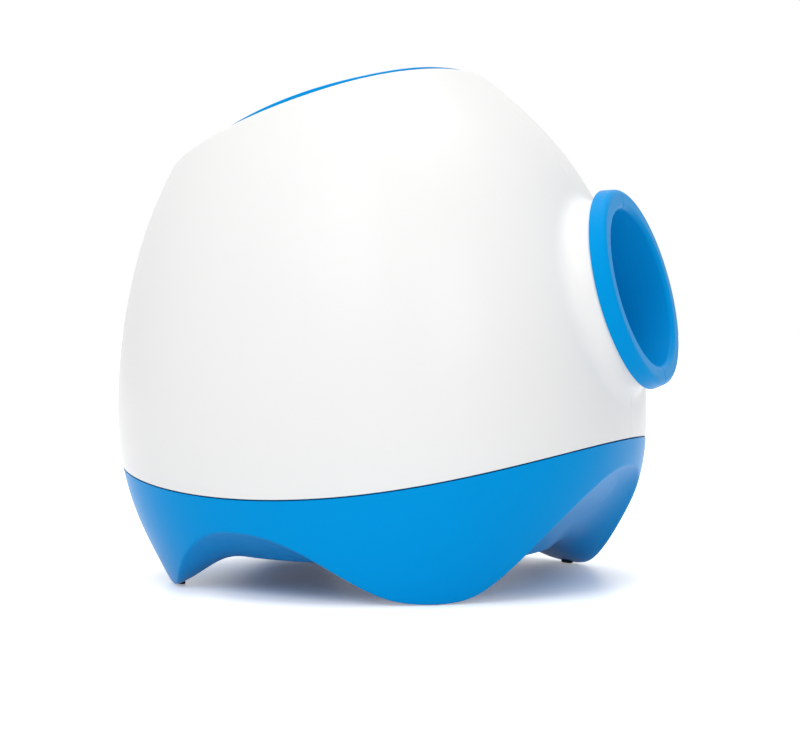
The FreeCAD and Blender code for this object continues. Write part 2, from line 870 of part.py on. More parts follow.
door_screw_solids = [countersunk(place, size("floor_thickness")) for place in door_screw_places]
door_screws = sub_part("door_screws", feature("door_screws", Part.makeCompound(door_screw_solids)))

deck_screws = screws("deck_screws", "deck_thickness + 8", [
    (launch_point(u, v, "-deck_drop"), launch_direction(0, -1)) for u, v in post_places
])
board_top = f"{floor_top} + standoff_height + board_thickness"
main_board_screws = screws("main_board_screws", "board_thickness + 4", [
    (V(size(x), size(y), size(board_top)), V(0, 0, -1)) for x, y in standoff_places
])

# Battery strap: a bent band over the pack with a foot on each side
battery_side = "(door_width / 2 - door_ledge - battery_clearance)"
battery_low_z = "(underside_height + door_thickness + fit_gap)"
battery_top_z = f"({battery_low_z} + battery_height)"
strap_inner = f"({battery_side} + fit_gap)"
strap_outer = f"({strap_inner} + strap_thickness)"
strap_foot_end = f"({strap_outer} + strap_foot)"
strap_floor = f"({floor_top})"
strap_top = f"({battery_top_z} + fit_gap)"
strap_outline = [
    (f"-{strap_foot_end}", strap_floor),
    (f"-{strap_inner}", strap_floor),
    (f"-{strap_inner}", strap_top),
    (strap_inner, strap_top),
    (strap_inner, strap_floor),
    (strap_foot_end, strap_floor),
    (strap_foot_end, f"{strap_floor} + strap_thickness"),
    (strap_outer, f"{strap_floor} + strap_thickness"),
    (strap_outer, f"{strap_top} + strap_thickness"),
    (f"-{strap_outer}", f"{strap_top} + strap_thickness"),
    (f"-{strap_outer}", f"{strap_floor} + strap_thickness"),
    (f"-{strap_foot_end}", f"{strap_floor} + strap_thickness"),
]
strap_blank = plate("battery_strap_band", strap_outline, "strap_width", "YZ_Plane")
move(strap_blank, "door_x - strap_width / 2", 0, 0)
strap_screws = screws("strap_screws", "strap_thickness + 3", [
    (V(size("door_x"), size(f"{across} * ({strap_foot_end} - screw_head_radius - 1)"),
       size(f"{strap_floor} + strap_thickness")), V(0, 0, -1))
    for across in (1, -1)
])
sub_part("battery_strap", cut("battery_strap_drilled", strap_blank, strap_screws))

PAD_ROUND = 0.3
PAD_LEVEL = 2.0


def foot_pads():
    """Four rubber strips let into the lowest part of each leg's edge, just inside the wall."""
    solids = []
    for angle in (side * size(name) for name in ("pad_angle_front", "pad_angle_back") for side in (1, -1)):
        radius = body_radius(angle, PAD_LEVEL, size("shell_wall")) - size("pad_width / 2")
        pad = Part.makeBox(size("pad_width"), size("pad_length"), size("pad_height"),
                           V(-size("pad_width / 2"), -size("pad_length / 2"), 0))
        upright = [edge for edge in pad.Edges if abs(edge.tangentAt(0).z) > 0.9]
        pad = pad.makeFillet(size("pad_width") * PAD_ROUND, upright)
        pad.rotate(V(), V(0, 0, 1), angle)
        pad.translate(V(radius * math.cos(math.radians(angle)), radius * math.sin(math.radians(angle)), 0))
        solids.append(pad)
    return Part.makeCompound(solids)


pads = sub_part("foot_pads", feature("foot_pads", foot_pads()))
base_fused = fuse("base_fused", base_wall, lip_above, lip_root, posts, *standoffs)
door_cut = fuse("door_cut", door_seat, door_hole)
small_cuts = together("base_small_cuts", deck_screws, main_board_screws, strap_screws, door_screws, pads)
sub_part("base_shell", cut("base_shell", base_fused, door_cut, small_cuts))

door_level = ("underside_height", "underside_height + door_thickness")
door = box("battery_door_plate", door_low, door_side, door_level)
sub_part("battery_door", cut("battery_door", door, door_screws))

battery_length = grown(door_low, "-door_ledge - battery_clearance")
battery_width = (f"-{battery_side}", battery_side)
sub_part("battery_pack", box("battery_pack", battery_length, battery_width, (battery_low_z, battery_top_z)))

# ----------------------------------------------------------------------------------------------------------
# Funnel hopper and feed chute
# ----------------------------------------------------------------------------------------------------------

path_radius = "(ball_diameter / 2 + path_clearance)"
path_outer = f"({path_radius} + path_wall)"


BOWL_ABOVE = 8.0


def bowl(name, grow):
    """The funnel's inside, from the flange's oval down to the round throat, grown by a wall."""
    top_half_length = size("flange_half_length - flange_width")
    top_half_width = size("flange_half_width - flange_width")
    throat = size(path_radius)
    throat_x = size("throat_x")
    throat_top = size("throat_top")
    top = size("rim_front_z") + BOWL_ABOVE
    top_front = size("flange_centre_x") + top_half_length
    top_back = size("flange_centre_x") - top_half_length
    levels = [
        (1.0, 1.0),
        (0.58, 0.80),
        (0.29, 0.40),
        (0.0, 0.0),
    ]
    wires = []
    for rise, spread in levels:
        front = throat_x + throat + spread * (top_front - throat_x - throat)
        back = throat_x - throat + spread * (top_back - throat_x + throat)
        half_width = throat + spread * (top_half_width - throat)
        height = throat_top + rise * (top - throat_top)
        wires.append(oval(height, front + grow, back - grow, half_width + grow, 2.0, 0.5))
    return feature(name, Part.makeLoft(wires, True, False))


def throat(name, grow, below):
    """The round throat under the bowl, grown by a wall and reaching below its end."""
    radius = size(path_radius) + grow
    middle = size("throat_x")
    wires = [
        oval(height, middle + radius, middle - radius, radius, 2.0, 0.5)
        for height in (size("throat_bottom") - below, size("throat_top"))
    ]
    return feature(name, Part.makeLoft(wires, True, True))


bowl_outer = bowl("bowl_outer", size("funnel_wall"))
throat_outer = throat("throat_outer", size("funnel_wall"), 0)
flange_prism = funnel_opening("flange_prism", 0, FUNNEL_LOW, FUNNEL_HIGH)
flange_plate = cut("flange_plate", flange_prism, rim_cylinder("rim_flange_under", 0.05))
hopper_outside = fuse("hopper_outside", bowl_outer, throat_outer, flange_plate)
hopper_outside = common("hopper_capped", hopper_outside, rim_cylinder("rim_flange_top", size("flange_rise")))
bowl_inner = bowl("bowl_inner", 0)
throat_inner = throat("throat_inner", 0, 1)
hopper_sharp = cut("hopper_sharp", hopper_outside, bowl_inner, throat_inner)

doc.recompute()
sub_part("hopper", rounded("hopper", hopper_sharp, "flange_rise * 0.4",
                           lambda edge: on_rim_arc(edge, size("flange_rise"))))

# The chute is an elbow pipe: it drops from the throat, then runs down towards the wheels
chute_exit = launch_point("-trough_back", 0, 0)
elbow_z = chute_exit.z + (chute_exit.x - size("throat_x")) * math.tan(math.radians(size("feed_slope")))
CHUTE_OVERRUN = 25.0
ACROSS = 60.0  # half the width of tools that cut across the ball's path
EXIT_TOP = 42.0
chute_run = chute_exit.x - size("throat_x") + CHUTE_OVERRUN


def elbow(name, radius, low_top):
    """A ball-ended elbow of one radius, up to a given height."""
    centre = V(size("throat_x"), 0, elbow_z)
    slope = math.radians(size("feed_slope"))
    drop = Part.makeCylinder(radius, low_top - elbow_z, centre)
    run = Part.makeCylinder(radius, chute_run, centre, V(math.cos(slope), 0, -math.sin(slope)))
    return feature(name, Part.makeSphere(radius, centre).multiFuse([drop, run]))


collar_inner = f"({path_outer} + fit_gap)"
collar_outer = f"({collar_inner} + path_wall)"
chute_top = "throat_bottom - fit_gap"
collar_low = f"{chute_top} - path_wall"
collar = rod("chute_collar", collar_outer, "collar_overlap + path_wall", "throat_x", 0, collar_low)
collar_bore = rod("chute_collar_bore", collar_inner, "2 * collar_overlap", "throat_x", 0, chute_top)
chute_feet_u = ("-trough_back - chute_foot_back", "-trough_back - chute_foot_front")
chute_feet_v = ("-chute_foot_reach", "chute_foot_reach")
chute_feet_top = f"{deck_top} + chute_foot_height"
chute_feet = in_launch(box("chute_feet", chute_feet_u, chute_feet_v, (deck_top, chute_feet_top)))
chute_screws = screws("chute_screws", "deck_thickness + chute_foot_height", [
    (launch_point(f"({chute_feet_u[0]} + {chute_feet_u[1]}) / 2",
                  f"{side} * (chute_foot_reach - screw_head_radius - 2)", chute_feet_top),
     launch_direction(0, -1))
    for side in (1, -1)
])
sensor_window = rod("sensor_window", "sensor_lens_radius + fit_gap", 2 * ACROSS, "throat_x", -ACROSS,
                    "sensor_height", "Y")
elbow_outer = elbow("elbow_outer", size(path_outer), size(chute_top))
elbow_inner = elbow("elbow_inner", size(path_radius), size(chute_top) + 1)
chute_outside = fuse("chute_outside", elbow_outer, collar, chute_feet)
exit_plane = box("chute_exit_plane", ("-trough_back - fit_gap", 0), (-ACROSS, ACROSS), (-ACROSS, EXIT_TOP))
chute_tools = [elbow_inner, collar_bore, in_launch(exit_plane), chute_screws, sensor_window]
sub_part("feed_chute", cut("feed_chute", chute_outside, *chute_tools))

# ----------------------------------------------------------------------------------------------------------
# Launch deck: a tilted plate with a trough for the ball between the wheels
# ----------------------------------------------------------------------------------------------------------

deck_low = "-deck_drop - deck_thickness"
wheel_v = "(wheel_nip / 2 + wheel_radius)"
deck_plate = box("deck_plate", ("-deck_back", "-deck_front"), ("-deck_half_width", "deck_half_width"),
                 (deck_low, deck_top))
barrel_end_gap = "fit_gap * 5"
trough_length = f"trough_back - barrel_length - {barrel_end_gap}"
trough_outer = rod("trough_outer", path_outer, trough_length, "-trough_back", 0, 0, "X")
trough_low = box("trough_low", ("-trough_back", "-barrel_length"), (-ACROSS, ACROSS), (-ACROSS, deck_top))
trough_shell = common("trough_shell", trough_outer, trough_low)
deck_solid = fuse("deck_solid", deck_plate, trough_shell)
trough_bore = rod("trough_bore", path_radius, "trough_back", "-trough_back", 0, 0, "X")
barrel_seat = rod("barrel_seat", "barrel_bore + path_wall + fit_gap", "barrel_length",
                  "-barrel_length - fit_gap * 4", 0, 0, "X")
motor_holes = [
    rod(f"motor_hole_{index}", "motor_boss_radius + fit_gap / 2", "3 * deck_thickness", "-wheel_u",
        f"{side} * {wheel_v}", f"{deck_low} - deck_thickness")
    for index, side in enumerate((1, -1))
]
deck_local = cut("deck_local", deck_solid, trough_bore, barrel_seat, *motor_holes)
deck_placed = to_launch(deck_local)
motor_screws = screws("motor_screws", "deck_thickness + 3", [
    (launch_point(f"-wheel_u + {along} * motor_screw_pitch", f"{side} * {wheel_v}", deck_top),
     launch_direction(0, -1))
    for side in (1, -1)
    for along in (1, -1)
])
chute_clearance = elbow("chute_clearance", size(path_outer) + size("fit_gap"), size(chute_top))
clearance_front = box("chute_clearance_front", ("-trough_back", FAR), (-FAR, FAR), (-FAR, FAR))
chute_clearance = cut("chute_clearance_back", chute_clearance, in_launch(clearance_front))

gate_foot_middle = "-(gate_leg_back + gate_leg_front) / 2"
gate_ear_out = "(gate_ear_v + gate_ear_thickness)"
gate_screws = screws("gate_screws", "deck_thickness + gate_foot_height", [
    (launch_point(gate_foot_middle, f"{side} * ({gate_ear_out} + gate_foot_length / 2)",
                  f"{deck_top} + gate_foot_height"), launch_direction(0, -1))
    for side in (1, -1)
])
deck_fasteners = (deck_screws, motor_screws, chute_screws, barrel_screws, gate_screws)
deck_small_cuts = together("deck_small_cuts", *deck_fasteners)
sub_part("launch_deck", cut("launch_deck", deck_placed, chute_clearance, deck_small_cuts))

# ----------------------------------------------------------------------------------------------------------
# Throwing wheels and their motors
# ----------------------------------------------------------------------------------------------------------

half_wheel = "(wheel_width / 2)"
hub_radius = "(wheel_radius - tyre_depth)"
shaft_low = "-deck_drop - deck_thickness - motor_length - 4"
for side, hand in ((1, "left"), (-1, "right")):
    middle = ("-wheel_u", f"{side} * {wheel_v}")
    hub = turned(f"wheel_hub_{hand}_body", [
        ("shaft_radius", f"-{half_wheel}"),
        ("hub_boss_radius", f"-{half_wheel}"),
        ("hub_boss_radius", "-hub_web / 2"),
        (f"{hub_radius} - 3", "-hub_web / 2"),
        (f"{hub_radius} - 3", f"1 - {half_wheel}"),
        (hub_radius, f"1 - {half_wheel}"),
        (hub_radius, f"{half_wheel} - 1"),
        (f"{hub_radius} - 3", f"{half_wheel} - 1"),
        (f"{hub_radius} - 3", "hub_web / 2"),
        ("hub_boss_radius", "hub_web / 2"),
        ("hub_boss_radius", half_wheel),
        ("shaft_radius", half_wheel),
    ])
    sub_part(f"wheel_hub_{hand}", to_launch(hub, *middle))
    tyre = turned(f"wheel_tyre_{hand}_body", [
        (hub_radius, f"-{half_wheel}"),
        ("wheel_radius - tyre_round", f"-{half_wheel}"),
        ("wheel_radius", f"tyre_round - {half_wheel}"),
        ("wheel_radius", "-2"),
        ("wheel_radius - 1.5", "-1"),
        ("wheel_radius - 1.5", "1"),
        ("wheel_radius", "2"),
        ("wheel_radius", f"{half_wheel} - tyre_round"),
        ("wheel_radius - tyre_round", half_wheel),
        (hub_radius, half_wheel),
    ])
    sub_part(f"wheel_tyre_{hand}", to_launch(tyre, *middle))
    shaft = turned(f"wheel_shaft_{hand}_body", [
        ("0", shaft_low),
        ("shaft_radius - 0.5", shaft_low),
        ("shaft_radius", f"{shaft_low} + 0.5"),
        ("shaft_radius", half_wheel),
        ("0", half_wheel),
    ])
    sub_part(f"wheel_shaft_{hand}", to_launch(shaft, *middle))
    bore = "(shaft_radius + running_gap)"
    motor = turned(f"wheel_motor_{hand}_body", [
        (bore, f"{deck_low} - motor_length"),
        ("motor_boss_radius", f"{deck_low} - motor_length"),
        ("motor_boss_radius", f"{deck_low} - motor_length + 2"),
        ("motor_radius - 2", f"{deck_low} - motor_length + 2"),
        ("motor_radius", f"{deck_low} - motor_length + 4"),
        ("motor_radius", f"{deck_low}"),
        ("motor_boss_radius", f"{deck_low}"),
        ("motor_boss_radius", f"{deck_low} + motor_boss_height"),
        (bore, f"{deck_low} + motor_boss_height"),
    ])
    motor = to_launch(motor, *middle)
    sub_part(f"wheel_motor_{hand}", cut(f"wheel_motor_{hand}_drilled", motor, motor_screws))

# ----------------------------------------------------------------------------------------------------------
# Ball gate: a paddle on a cross pin, geared to a small motor
# ----------------------------------------------------------------------------------------------------------

gate_motor_u = "(gear_module * (gear_teeth + pinion_teeth) / 2 - gate_u)"
ear_outline_left = [
    ("-gate_leg_back", deck_top),
    ("-gate_leg_front", deck_top),
    ("-gate_leg_front", "gate_ear_low"),
    (f"{gate_motor_u} + gate_nose", "gate_ear_low"),
    (f"{gate_motor_u} + gate_nose", "gate_ear_high"),
    ("-gate_leg_back", "gate_ear_high"),
]
ear_outline_right = ear_outline_left[:3] + [
    ("gate_nose - gate_u", "gate_ear_low"),
    ("gate_nose - gate_u", "gate_ear_high"),
    ("-gate_leg_back", "gate_ear_high"),
]
ear_left = plate("gate_ear_left", ear_outline_left, "gate_ear_thickness", "XZ_Plane")
move(ear_left, 0, gate_ear_out, 0)
ear_right = plate("gate_ear_right", ear_outline_right, "gate_ear_thickness", "XZ_Plane")
move(ear_right, 0, "-gate_ear_v", 0)
bridge_u = ("gate_nose - gate_bridge_width - 2 - gate_u", "gate_nose - 2 - gate_u")
gate_bridge = box("gate_bridge", bridge_u, (f"-{gate_ear_out}", gate_ear_out),
                  ("gate_ear_high - gate_ear_thickness", "gate_ear_high"))
gate_foot_sides = (
    ("gate_ear_v", f"{gate_ear_out} + gate_foot_length"),
    (f"-{gate_ear_out} - gate_foot_length", "-gate_ear_v"),
)
gate_feet = [
    box(f"gate_foot_{index}", ("-gate_leg_back", "-gate_leg_front"), sides,
        (deck_top, f"{deck_top} + gate_foot_height"))
    for index, sides in enumerate(gate_foot_sides)
]
bush_holes = rod("gate_bush_holes", "gate_bush_radius", 2 * FAR, "-gate_u", -FAR, "gate_w", "Y")
shaft_hole = rod("gate_shaft_hole", "gate_shaft_radius + 1", FAR, gate_motor_u, 0, "gate_w", "Y")
bracket_solid = fuse("gate_bracket_solid", ear_left, ear_right, gate_bridge, *gate_feet)
bracket = cut("gate_bracket_local", bracket_solid, bush_holes, shaft_hole)
sub_part("gate_bracket", cut("gate_bracket_drilled", to_launch(bracket), gate_screws))

bushes = [
    rod(f"gate_bush_{index}", "gate_bush_radius", "gate_ear_thickness", "-gate_u", v, "gate_w", "Y")
    for index, v in enumerate(("gate_ear_v", f"-{gate_ear_out}"))
]
pin_way = rod("gate_pin_way", "gate_pin_radius + running_gap", 2 * FAR, "-gate_u", -FAR, "gate_w", "Y")
sub_part("gate_bushes", to_launch(cut("gate_bushes_bored", together("gate_bush_pair", *bushes), pin_way)))

gear_low_v = f"({gate_ear_out} + gear_side_gap)"
pin_start_v = f"(-{gate_ear_out} - gate_pin_proud)"
pin_length = f"{gear_low_v} + gear_width + gate_pin_proud - {pin_start_v}"
pin = rod("gate_pin_rod", "gate_pin_radius", pin_length, "-gate_u", pin_start_v, "gate_w", "Y")
sub_part("gate_pin", in_launch(pin))

paddle_plate = box("paddle_plate", ("-gate_u - gate_thickness / 2", "gate_thickness / 2 - gate_u"),
                   ("-gate_half_width", "gate_half_width"), ("gate_w - gate_length", "gate_w"))
paddle_hub = rod("paddle_hub", "gate_hub_radius", "2 * gate_half_width", "-gate_u", "-gate_half_width",
                 "gate_w", "Y")
paddle_bore = rod("paddle_bore", "gate_pin_radius", 2 * FAR, "-gate_u", -FAR, "gate_w", "Y")
paddle = cut("gate_paddle_local", fuse("gate_paddle_solid", paddle_plate, paddle_hub), paddle_bore)
sub_part("gate_paddle", to_launch(paddle))

PRESSURE_ANGLE = 20.0
FLANK_POINTS = 5


def gear(teeth, turned_by):
    """An involute gear in the launch frame's u-w plane, its first tooth turned from +u by an angle."""
    module = size("gear_module")
    pitch = module * teeth / 2
    base = pitch * math.cos(math.radians(PRESSURE_ANGLE))
    tip = pitch + module
    root = pitch - 1.25 * module
    involute = math.tan(math.radians(PRESSURE_ANGLE)) - math.radians(PRESSURE_ANGLE)
    half_tooth = math.pi / (2 * teeth) - size("gear_backlash") / (4 * pitch) + involute
    flank = []
    start = max(base, root)
    for step in range(FLANK_POINTS + 1):
        radius = start + (tip - start) * step / FLANK_POINTS
        roll = math.sqrt((radius / base) ** 2 - 1)
        flank.append((radius, half_tooth - (roll - math.atan(roll))))
    points = []
    for tooth in range(teeth):
        middle = 2 * math.pi * tooth / teeth + math.radians(turned_by)
        for radius, half_angle in [(root, flank[0][1])] + flank:
            points.append((radius, middle - half_angle))
        for radius, half_angle in flank[::-1] + [(root, flank[0][1])]:
            points.append((radius, middle + half_angle))
    corners = []
    for radius, angle in points:
        corner = V(radius * math.cos(angle), 0, radius * math.sin(angle))
        if not corners or (corner - corners[-1]).Length > 1e-6:
            corners.append(corner)
    face = Part.Face(Part.makePolygon(corners + corners[:1]))
    return face.extrude(V(0, size("gear_width"), 0))


def moved(shape, u, v, w):
    """A shape moved by expressions."""
    shape.translate(V(size(u), size(v), size(w)))
    return shape


gear_solid = moved(gear(round(size("gear_teeth")), 0), "-gate_u", gear_low_v, "gate_w")
gear_bore = rod("gate_gear_bore", "gate_pin_radius", FAR, "-gate_u", 0, "gate_w", "Y")
gate_gear = cut("gate_gear_local", feature("gate_gear_teeth", gear_solid), gear_bore)
sub_part("gate_gear", to_launch(gate_gear))

half_pinion_tooth = 180.0 / size("pinion_teeth")
pinion_solid = gear(round(size("pinion_teeth")), 180 + half_pinion_tooth)
pinion_solid = moved(pinion_solid, gate_motor_u, gear_low_v, "gate_w")
gate_motor_v = "gate_ear_v - gate_motor_length"
pinion_shaft = rod("gate_motor_shaft", "gate_shaft_radius", f"{gear_low_v} + gear_width - ({gate_motor_v})",
                   gate_motor_u, gate_motor_v, "gate_w", "Y")
pinion = fuse("gate_pinion_local", feature("gate_pinion_teeth", pinion_solid), pinion_shaft)
sub_part("gate_pinion", to_launch(pinion))

gate_motor_can = rod("gate_motor_can", "gate_motor_radius", "gate_motor_length - fit_gap / 3", gate_motor_u,
                     gate_motor_v, "gate_w", "Y")
gate_motor_bore = rod("gate_motor_bore", "gate_shaft_radius + running_gap", FAR, gate_motor_u, 0,
                      "gate_w", "Y")
sub_part("gate_motor", to_launch(cut("gate_motor_local", gate_motor_can, gate_motor_bore)))

# ----------------------------------------------------------------------------------------------------------
# Control panel on the back: bezel, two buttons, two light pipes, charging inlet, board and switches
# ----------------------------------------------------------------------------------------------------------

flange_radius = "(panel_radius + panel_flange)"
flange_back_x = "(panel_seat_x + panel_thickness)"
board_face_x = "control_board_x"
bezel_face = rod("bezel_face", "panel_radius", f"{flange_back_x} - panel_face_x", "panel_face_x", 0,
                 "panel_z", "X")
bezel_flange = rod("bezel_flange", flange_radius, "panel_thickness", "panel_seat_x", 0, "panel_z", "X")
bezel_recess = rod("bezel_recess", "panel_radius - panel_thickness", PANEL_TOOL,
                   "panel_face_x + panel_thickness", 0, "panel_z", "X")
POST_SHARE = 0.66
board_posts = [
    rod(f"board_post_{index}", "standoff_radius", f"{board_face_x} - panel_seat_x", "panel_seat_x",
        f"{across} * {POST_SHARE} * {flange_radius}", f"panel_z + {up} * {POST_SHARE} * {flange_radius}", "X")
    for index, (across, up) in enumerate(((1, 1), (1, -1), (-1, 1), (-1, -1)))
]
board_screw_places = [
    (V(size(f"{board_face_x} + board_thickness"), size(f"{across} * {POST_SHARE} * {flange_radius}"),
       size(f"panel_z + {up} * {POST_SHARE} * {flange_radius}")), V(-1, 0, 0))
    for across in (1, -1)
    for up in (1, -1)
]
control_board_screws = screws("control_board_screws", "board_thickness + 5", board_screw_places)
button_heights = {"power": "panel_z + button_pitch / 2", "distance": "panel_z - button_pitch / 2"}
button_holes = [
    rod(f"button_hole_{name}", "button_radius + button_gap", PANEL_TOOL, panel_tool_start, 0, height, "X")
    for name, height in button_heights.items()
]
PIPE_SIDES = (-1, 1)
pipe_holes = [
    rod(f"pipe_hole_{index}", "light_pipe_radius", PANEL_TOOL, panel_tool_start,
        f"{side} * light_pipe_pitch", "panel_z", "X")
    for index, side in enumerate(PIPE_SIDES)
]
inlet_z = "(panel_z - button_pitch / 2)"
inlet_y = "(button_radius + button_gap + inlet_radius + 4)"
inlet_hole = rod("inlet_hole", "inlet_radius", PANEL_TOOL, panel_tool_start, f"-{inlet_y}", inlet_z, "X")
bezel_cup = cut("bezel_cup", fuse("bezel_blank", bezel_face, bezel_flange), bezel_recess)
bezel = fuse("bezel_solid", bezel_cup, *board_posts)
panel_holes = [*button_holes, *pipe_holes, inlet_hole, control_board_screws]
sub_part("control_panel", cut("control_panel", bezel, *panel_holes))

for name, height in button_heights.items():
    cap_back = "(panel_face_x + panel_thickness + 0.4)"
    stem_end = f"({board_face_x} - switch_height - 0.2 - button_travel)"
    button = turned(f"{name}_button_body", [
        ("0", "0"),
        ("button_radius - 1", "0"),
        ("button_radius", "0.8"),
        ("button_radius", f"{cap_back} - panel_face_x + button_rise"),
        ("button_radius + 1.6", f"{cap_back} - panel_face_x + button_rise"),
        ("button_radius + 1.6", f"{cap_back} - panel_face_x + button_rise + 1.5"),
        ("button_stem_radius", f"{cap_back} - panel_face_x + button_rise + 1.5"),
        ("button_stem_radius", f"{stem_end} - panel_face_x + button_rise"),
        ("0", f"{stem_end} - panel_face_x + button_rise"),
    ])
    button.Placement = FreeCAD.Placement(V(), ALONG["X"])
    move(button, "panel_face_x - button_rise", 0, height)
    sub_part(f"{name}_button", button)

pipes = [
    rod(f"light_pipe_{index}", "light_pipe_radius", f"{board_face_x} - panel_face_x", "panel_face_x",
        f"{side} * light_pipe_pitch", "panel_z", "X")
    for index, side in enumerate(PIPE_SIDES)
]
sub_part("light_pipes", together("light_pipes", *pipes))

inlet = rod("inlet_body", "inlet_radius", "inlet_length", "panel_face_x", f"-{inlet_y}", inlet_z, "X")
inlet_socket = rod("inlet_socket", "inlet_bore", "inlet_depth", "panel_face_x", f"-{inlet_y}", inlet_z, "X")
inlet_pin = rod("inlet_pin", "inlet_pin_radius", "inlet_depth", "panel_face_x + 1", f"-{inlet_y}",
                inlet_z, "X")
sub_part("charge_inlet", fuse("charge_inlet", cut("inlet_barrel", inlet, inlet_socket), inlet_pin))

half_board = "(control_board_side / 2)"
board_x = (board_face_x, f"{board_face_x} + board_thickness")
board_y = (f"-{half_board}", half_board)
board = box("control_board_blank", board_x, board_y, (f"panel_z - {half_board}", f"panel_z + {half_board}"))
sub_part("control_board", cut("control_board", board, control_board_screws))
switches = [
    box(f"switch_{name}", (f"{board_face_x} - switch_height", board_face_x),
        ("-switch_side / 2", "switch_side / 2"),
        (f"{height} - switch_side / 2", f"{height} + switch_side / 2"))
    for name, height in button_heights.items()
]
sub_part("tact_switches", together("tact_switches", *switches))

# ----------------------------------------------------------------------------------------------------------
# Main board, ball sensor and leads
# ----------------------------------------------------------------------------------------------------------

main_low = f"({floor_top} + standoff_height)"
main_board = box(
    "main_board_blank",
    ("main_board_x - main_board_length / 2", "main_board_x + main_board_length / 2"),
    ("-main_board_width / 2", "main_board_width / 2"),
    (main_low, f"{main_low} + board_thickness"),
)
sub_part("main_board", cut("main_board", main_board, main_board_screws))

BOARD_BLOCKS = (
    ("driver_left", 4, 8, 9, 14, 9),
    ("driver_right", 4, -22, 9, 14, 9),
    ("chip", -12, -6, 12, 12, 2.5),
)
blocks = [
    box(f"block_{name}", (f"main_board_x + {x}", f"main_board_x + {x + length}"), (y, y + width),
        (board_top, f"{board_top} + {height}"))
    for name, x, y, length, width, height in BOARD_BLOCKS
]
CAPACITORS = ((-14, 14), (-14, -16))
CAPACITOR_RADIUS = 4.0
CAPACITOR_HEIGHT = 11.0
blocks += [
    rod(f"capacitor_{index}", CAPACITOR_RADIUS, CAPACITOR_HEIGHT, f"main_board_x + {x}", y, board_top)
    for index, (x, y) in enumerate(CAPACITORS)
]
sub_part("board_components", together("board_components", *blocks))

for side, name in ((1, "ball_emitter"), (-1, "ball_receiver")):
    near = f"({path_outer} + fit_gap)"
    ends = (near, f"{near} + sensor_depth") if side > 0 else (f"-{near} - sensor_depth", f"-{near}")
    housing = box(f"{name}_housing", ("throat_x - sensor_side / 2", "throat_x + sensor_side / 2"), ends,
                  ("sensor_height - sensor_side / 2", "sensor_height + sensor_side / 2"))
    lens_start = f"({path_radius} + 0.4)"
    lens_length = f"{near} - {lens_start}"
    lens = rod(f"{name}_lens", "sensor_lens_radius", lens_length, "throat_x",
               lens_start if side > 0 else f"-{near}", "sensor_height", "Y")
    sub_part(name, fuse(name, housing, lens))

board_z = size(board_top)
motor_tail = f"{deck_low} - motor_length + 2"
motor_leads = []
for side in (1, -1):
    tail = launch_point("-wheel_u - motor_radius * 0.6", f"{side} * {wheel_v}", motor_tail)
    block = V(size("main_board_x") - 6, side * 19.0, board_z)
    motor_leads.append(lead([
        tail,
        tail + launch_direction(0, -1) * 10,
        V((tail.x + block.x) / 2, side * 46.0, board_z + 14),
        block + V(0, 0, 14),
        block,
    ]))
sub_part("motor_leads", feature("motor_leads", Part.makeCompound(motor_leads)))

panel_foot = V(size("control_board_x + board_thickness"), 12.0, size("panel_z - control_board_side / 2 + 4"))
lead_side_y = size(f"{strap_outer} + strap_foot + 8")
panel_block = V(size("main_board_x") - 17, 6.0, board_z)
sub_part("panel_lead", feature("panel_lead", lead([
    panel_foot,
    panel_foot + V(12, 0, 0),
    panel_foot + V(26, 10, -28),
    V(-78, lead_side_y - 10, board_z + 12),
    V(-40, lead_side_y, board_z + 2),
    V(-2, lead_side_y, board_z + 2.5),
    V(28, 38, board_z + 12),
    panel_block + V(0, 0, 14),
    panel_block,
])))
battery_end = V(size(battery_length[1]), -10.0, size(battery_top_z) - 8)
battery_block = V(size("main_board_x") - 19, -9.0, board_z)
sub_part("battery_lead", feature("battery_lead", lead([
    battery_end,
    battery_end + V(7, 0, 0),
    battery_block + V(0, 0, 7),
    battery_block,
])))

# ----------------------------------------------------------------------------------------------------------
# Check and write
# ----------------------------------------------------------------------------------------------------------

doc.recompute()
os.makedirs("parts", exist_ok=True)
for item in doc.Objects:
    if "Invalid" in item.State or "Error" in item.State:
        raise RuntimeError(f"{item.Name} failed to recompute: {item.State}")
for label, item in sub_parts.items():
    if item.Shape.isNull() or not item.Shape.isValid():
        raise RuntimeError(f"{label} has no valid shape")
for label, item in sub_parts.items():
    item.Shape.exportStep(f"parts/{label}.step")
print("wrote", len(sub_parts), "sub-parts")
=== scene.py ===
"""Automatic ball launcher for dogs: outer mouldings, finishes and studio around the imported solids."""

from __future__ import annotations

import json
import logging
import math
from collections.abc import Callable, Iterator, Sequence
from dataclasses import dataclass, field
from enum import Enum
from typing import Any

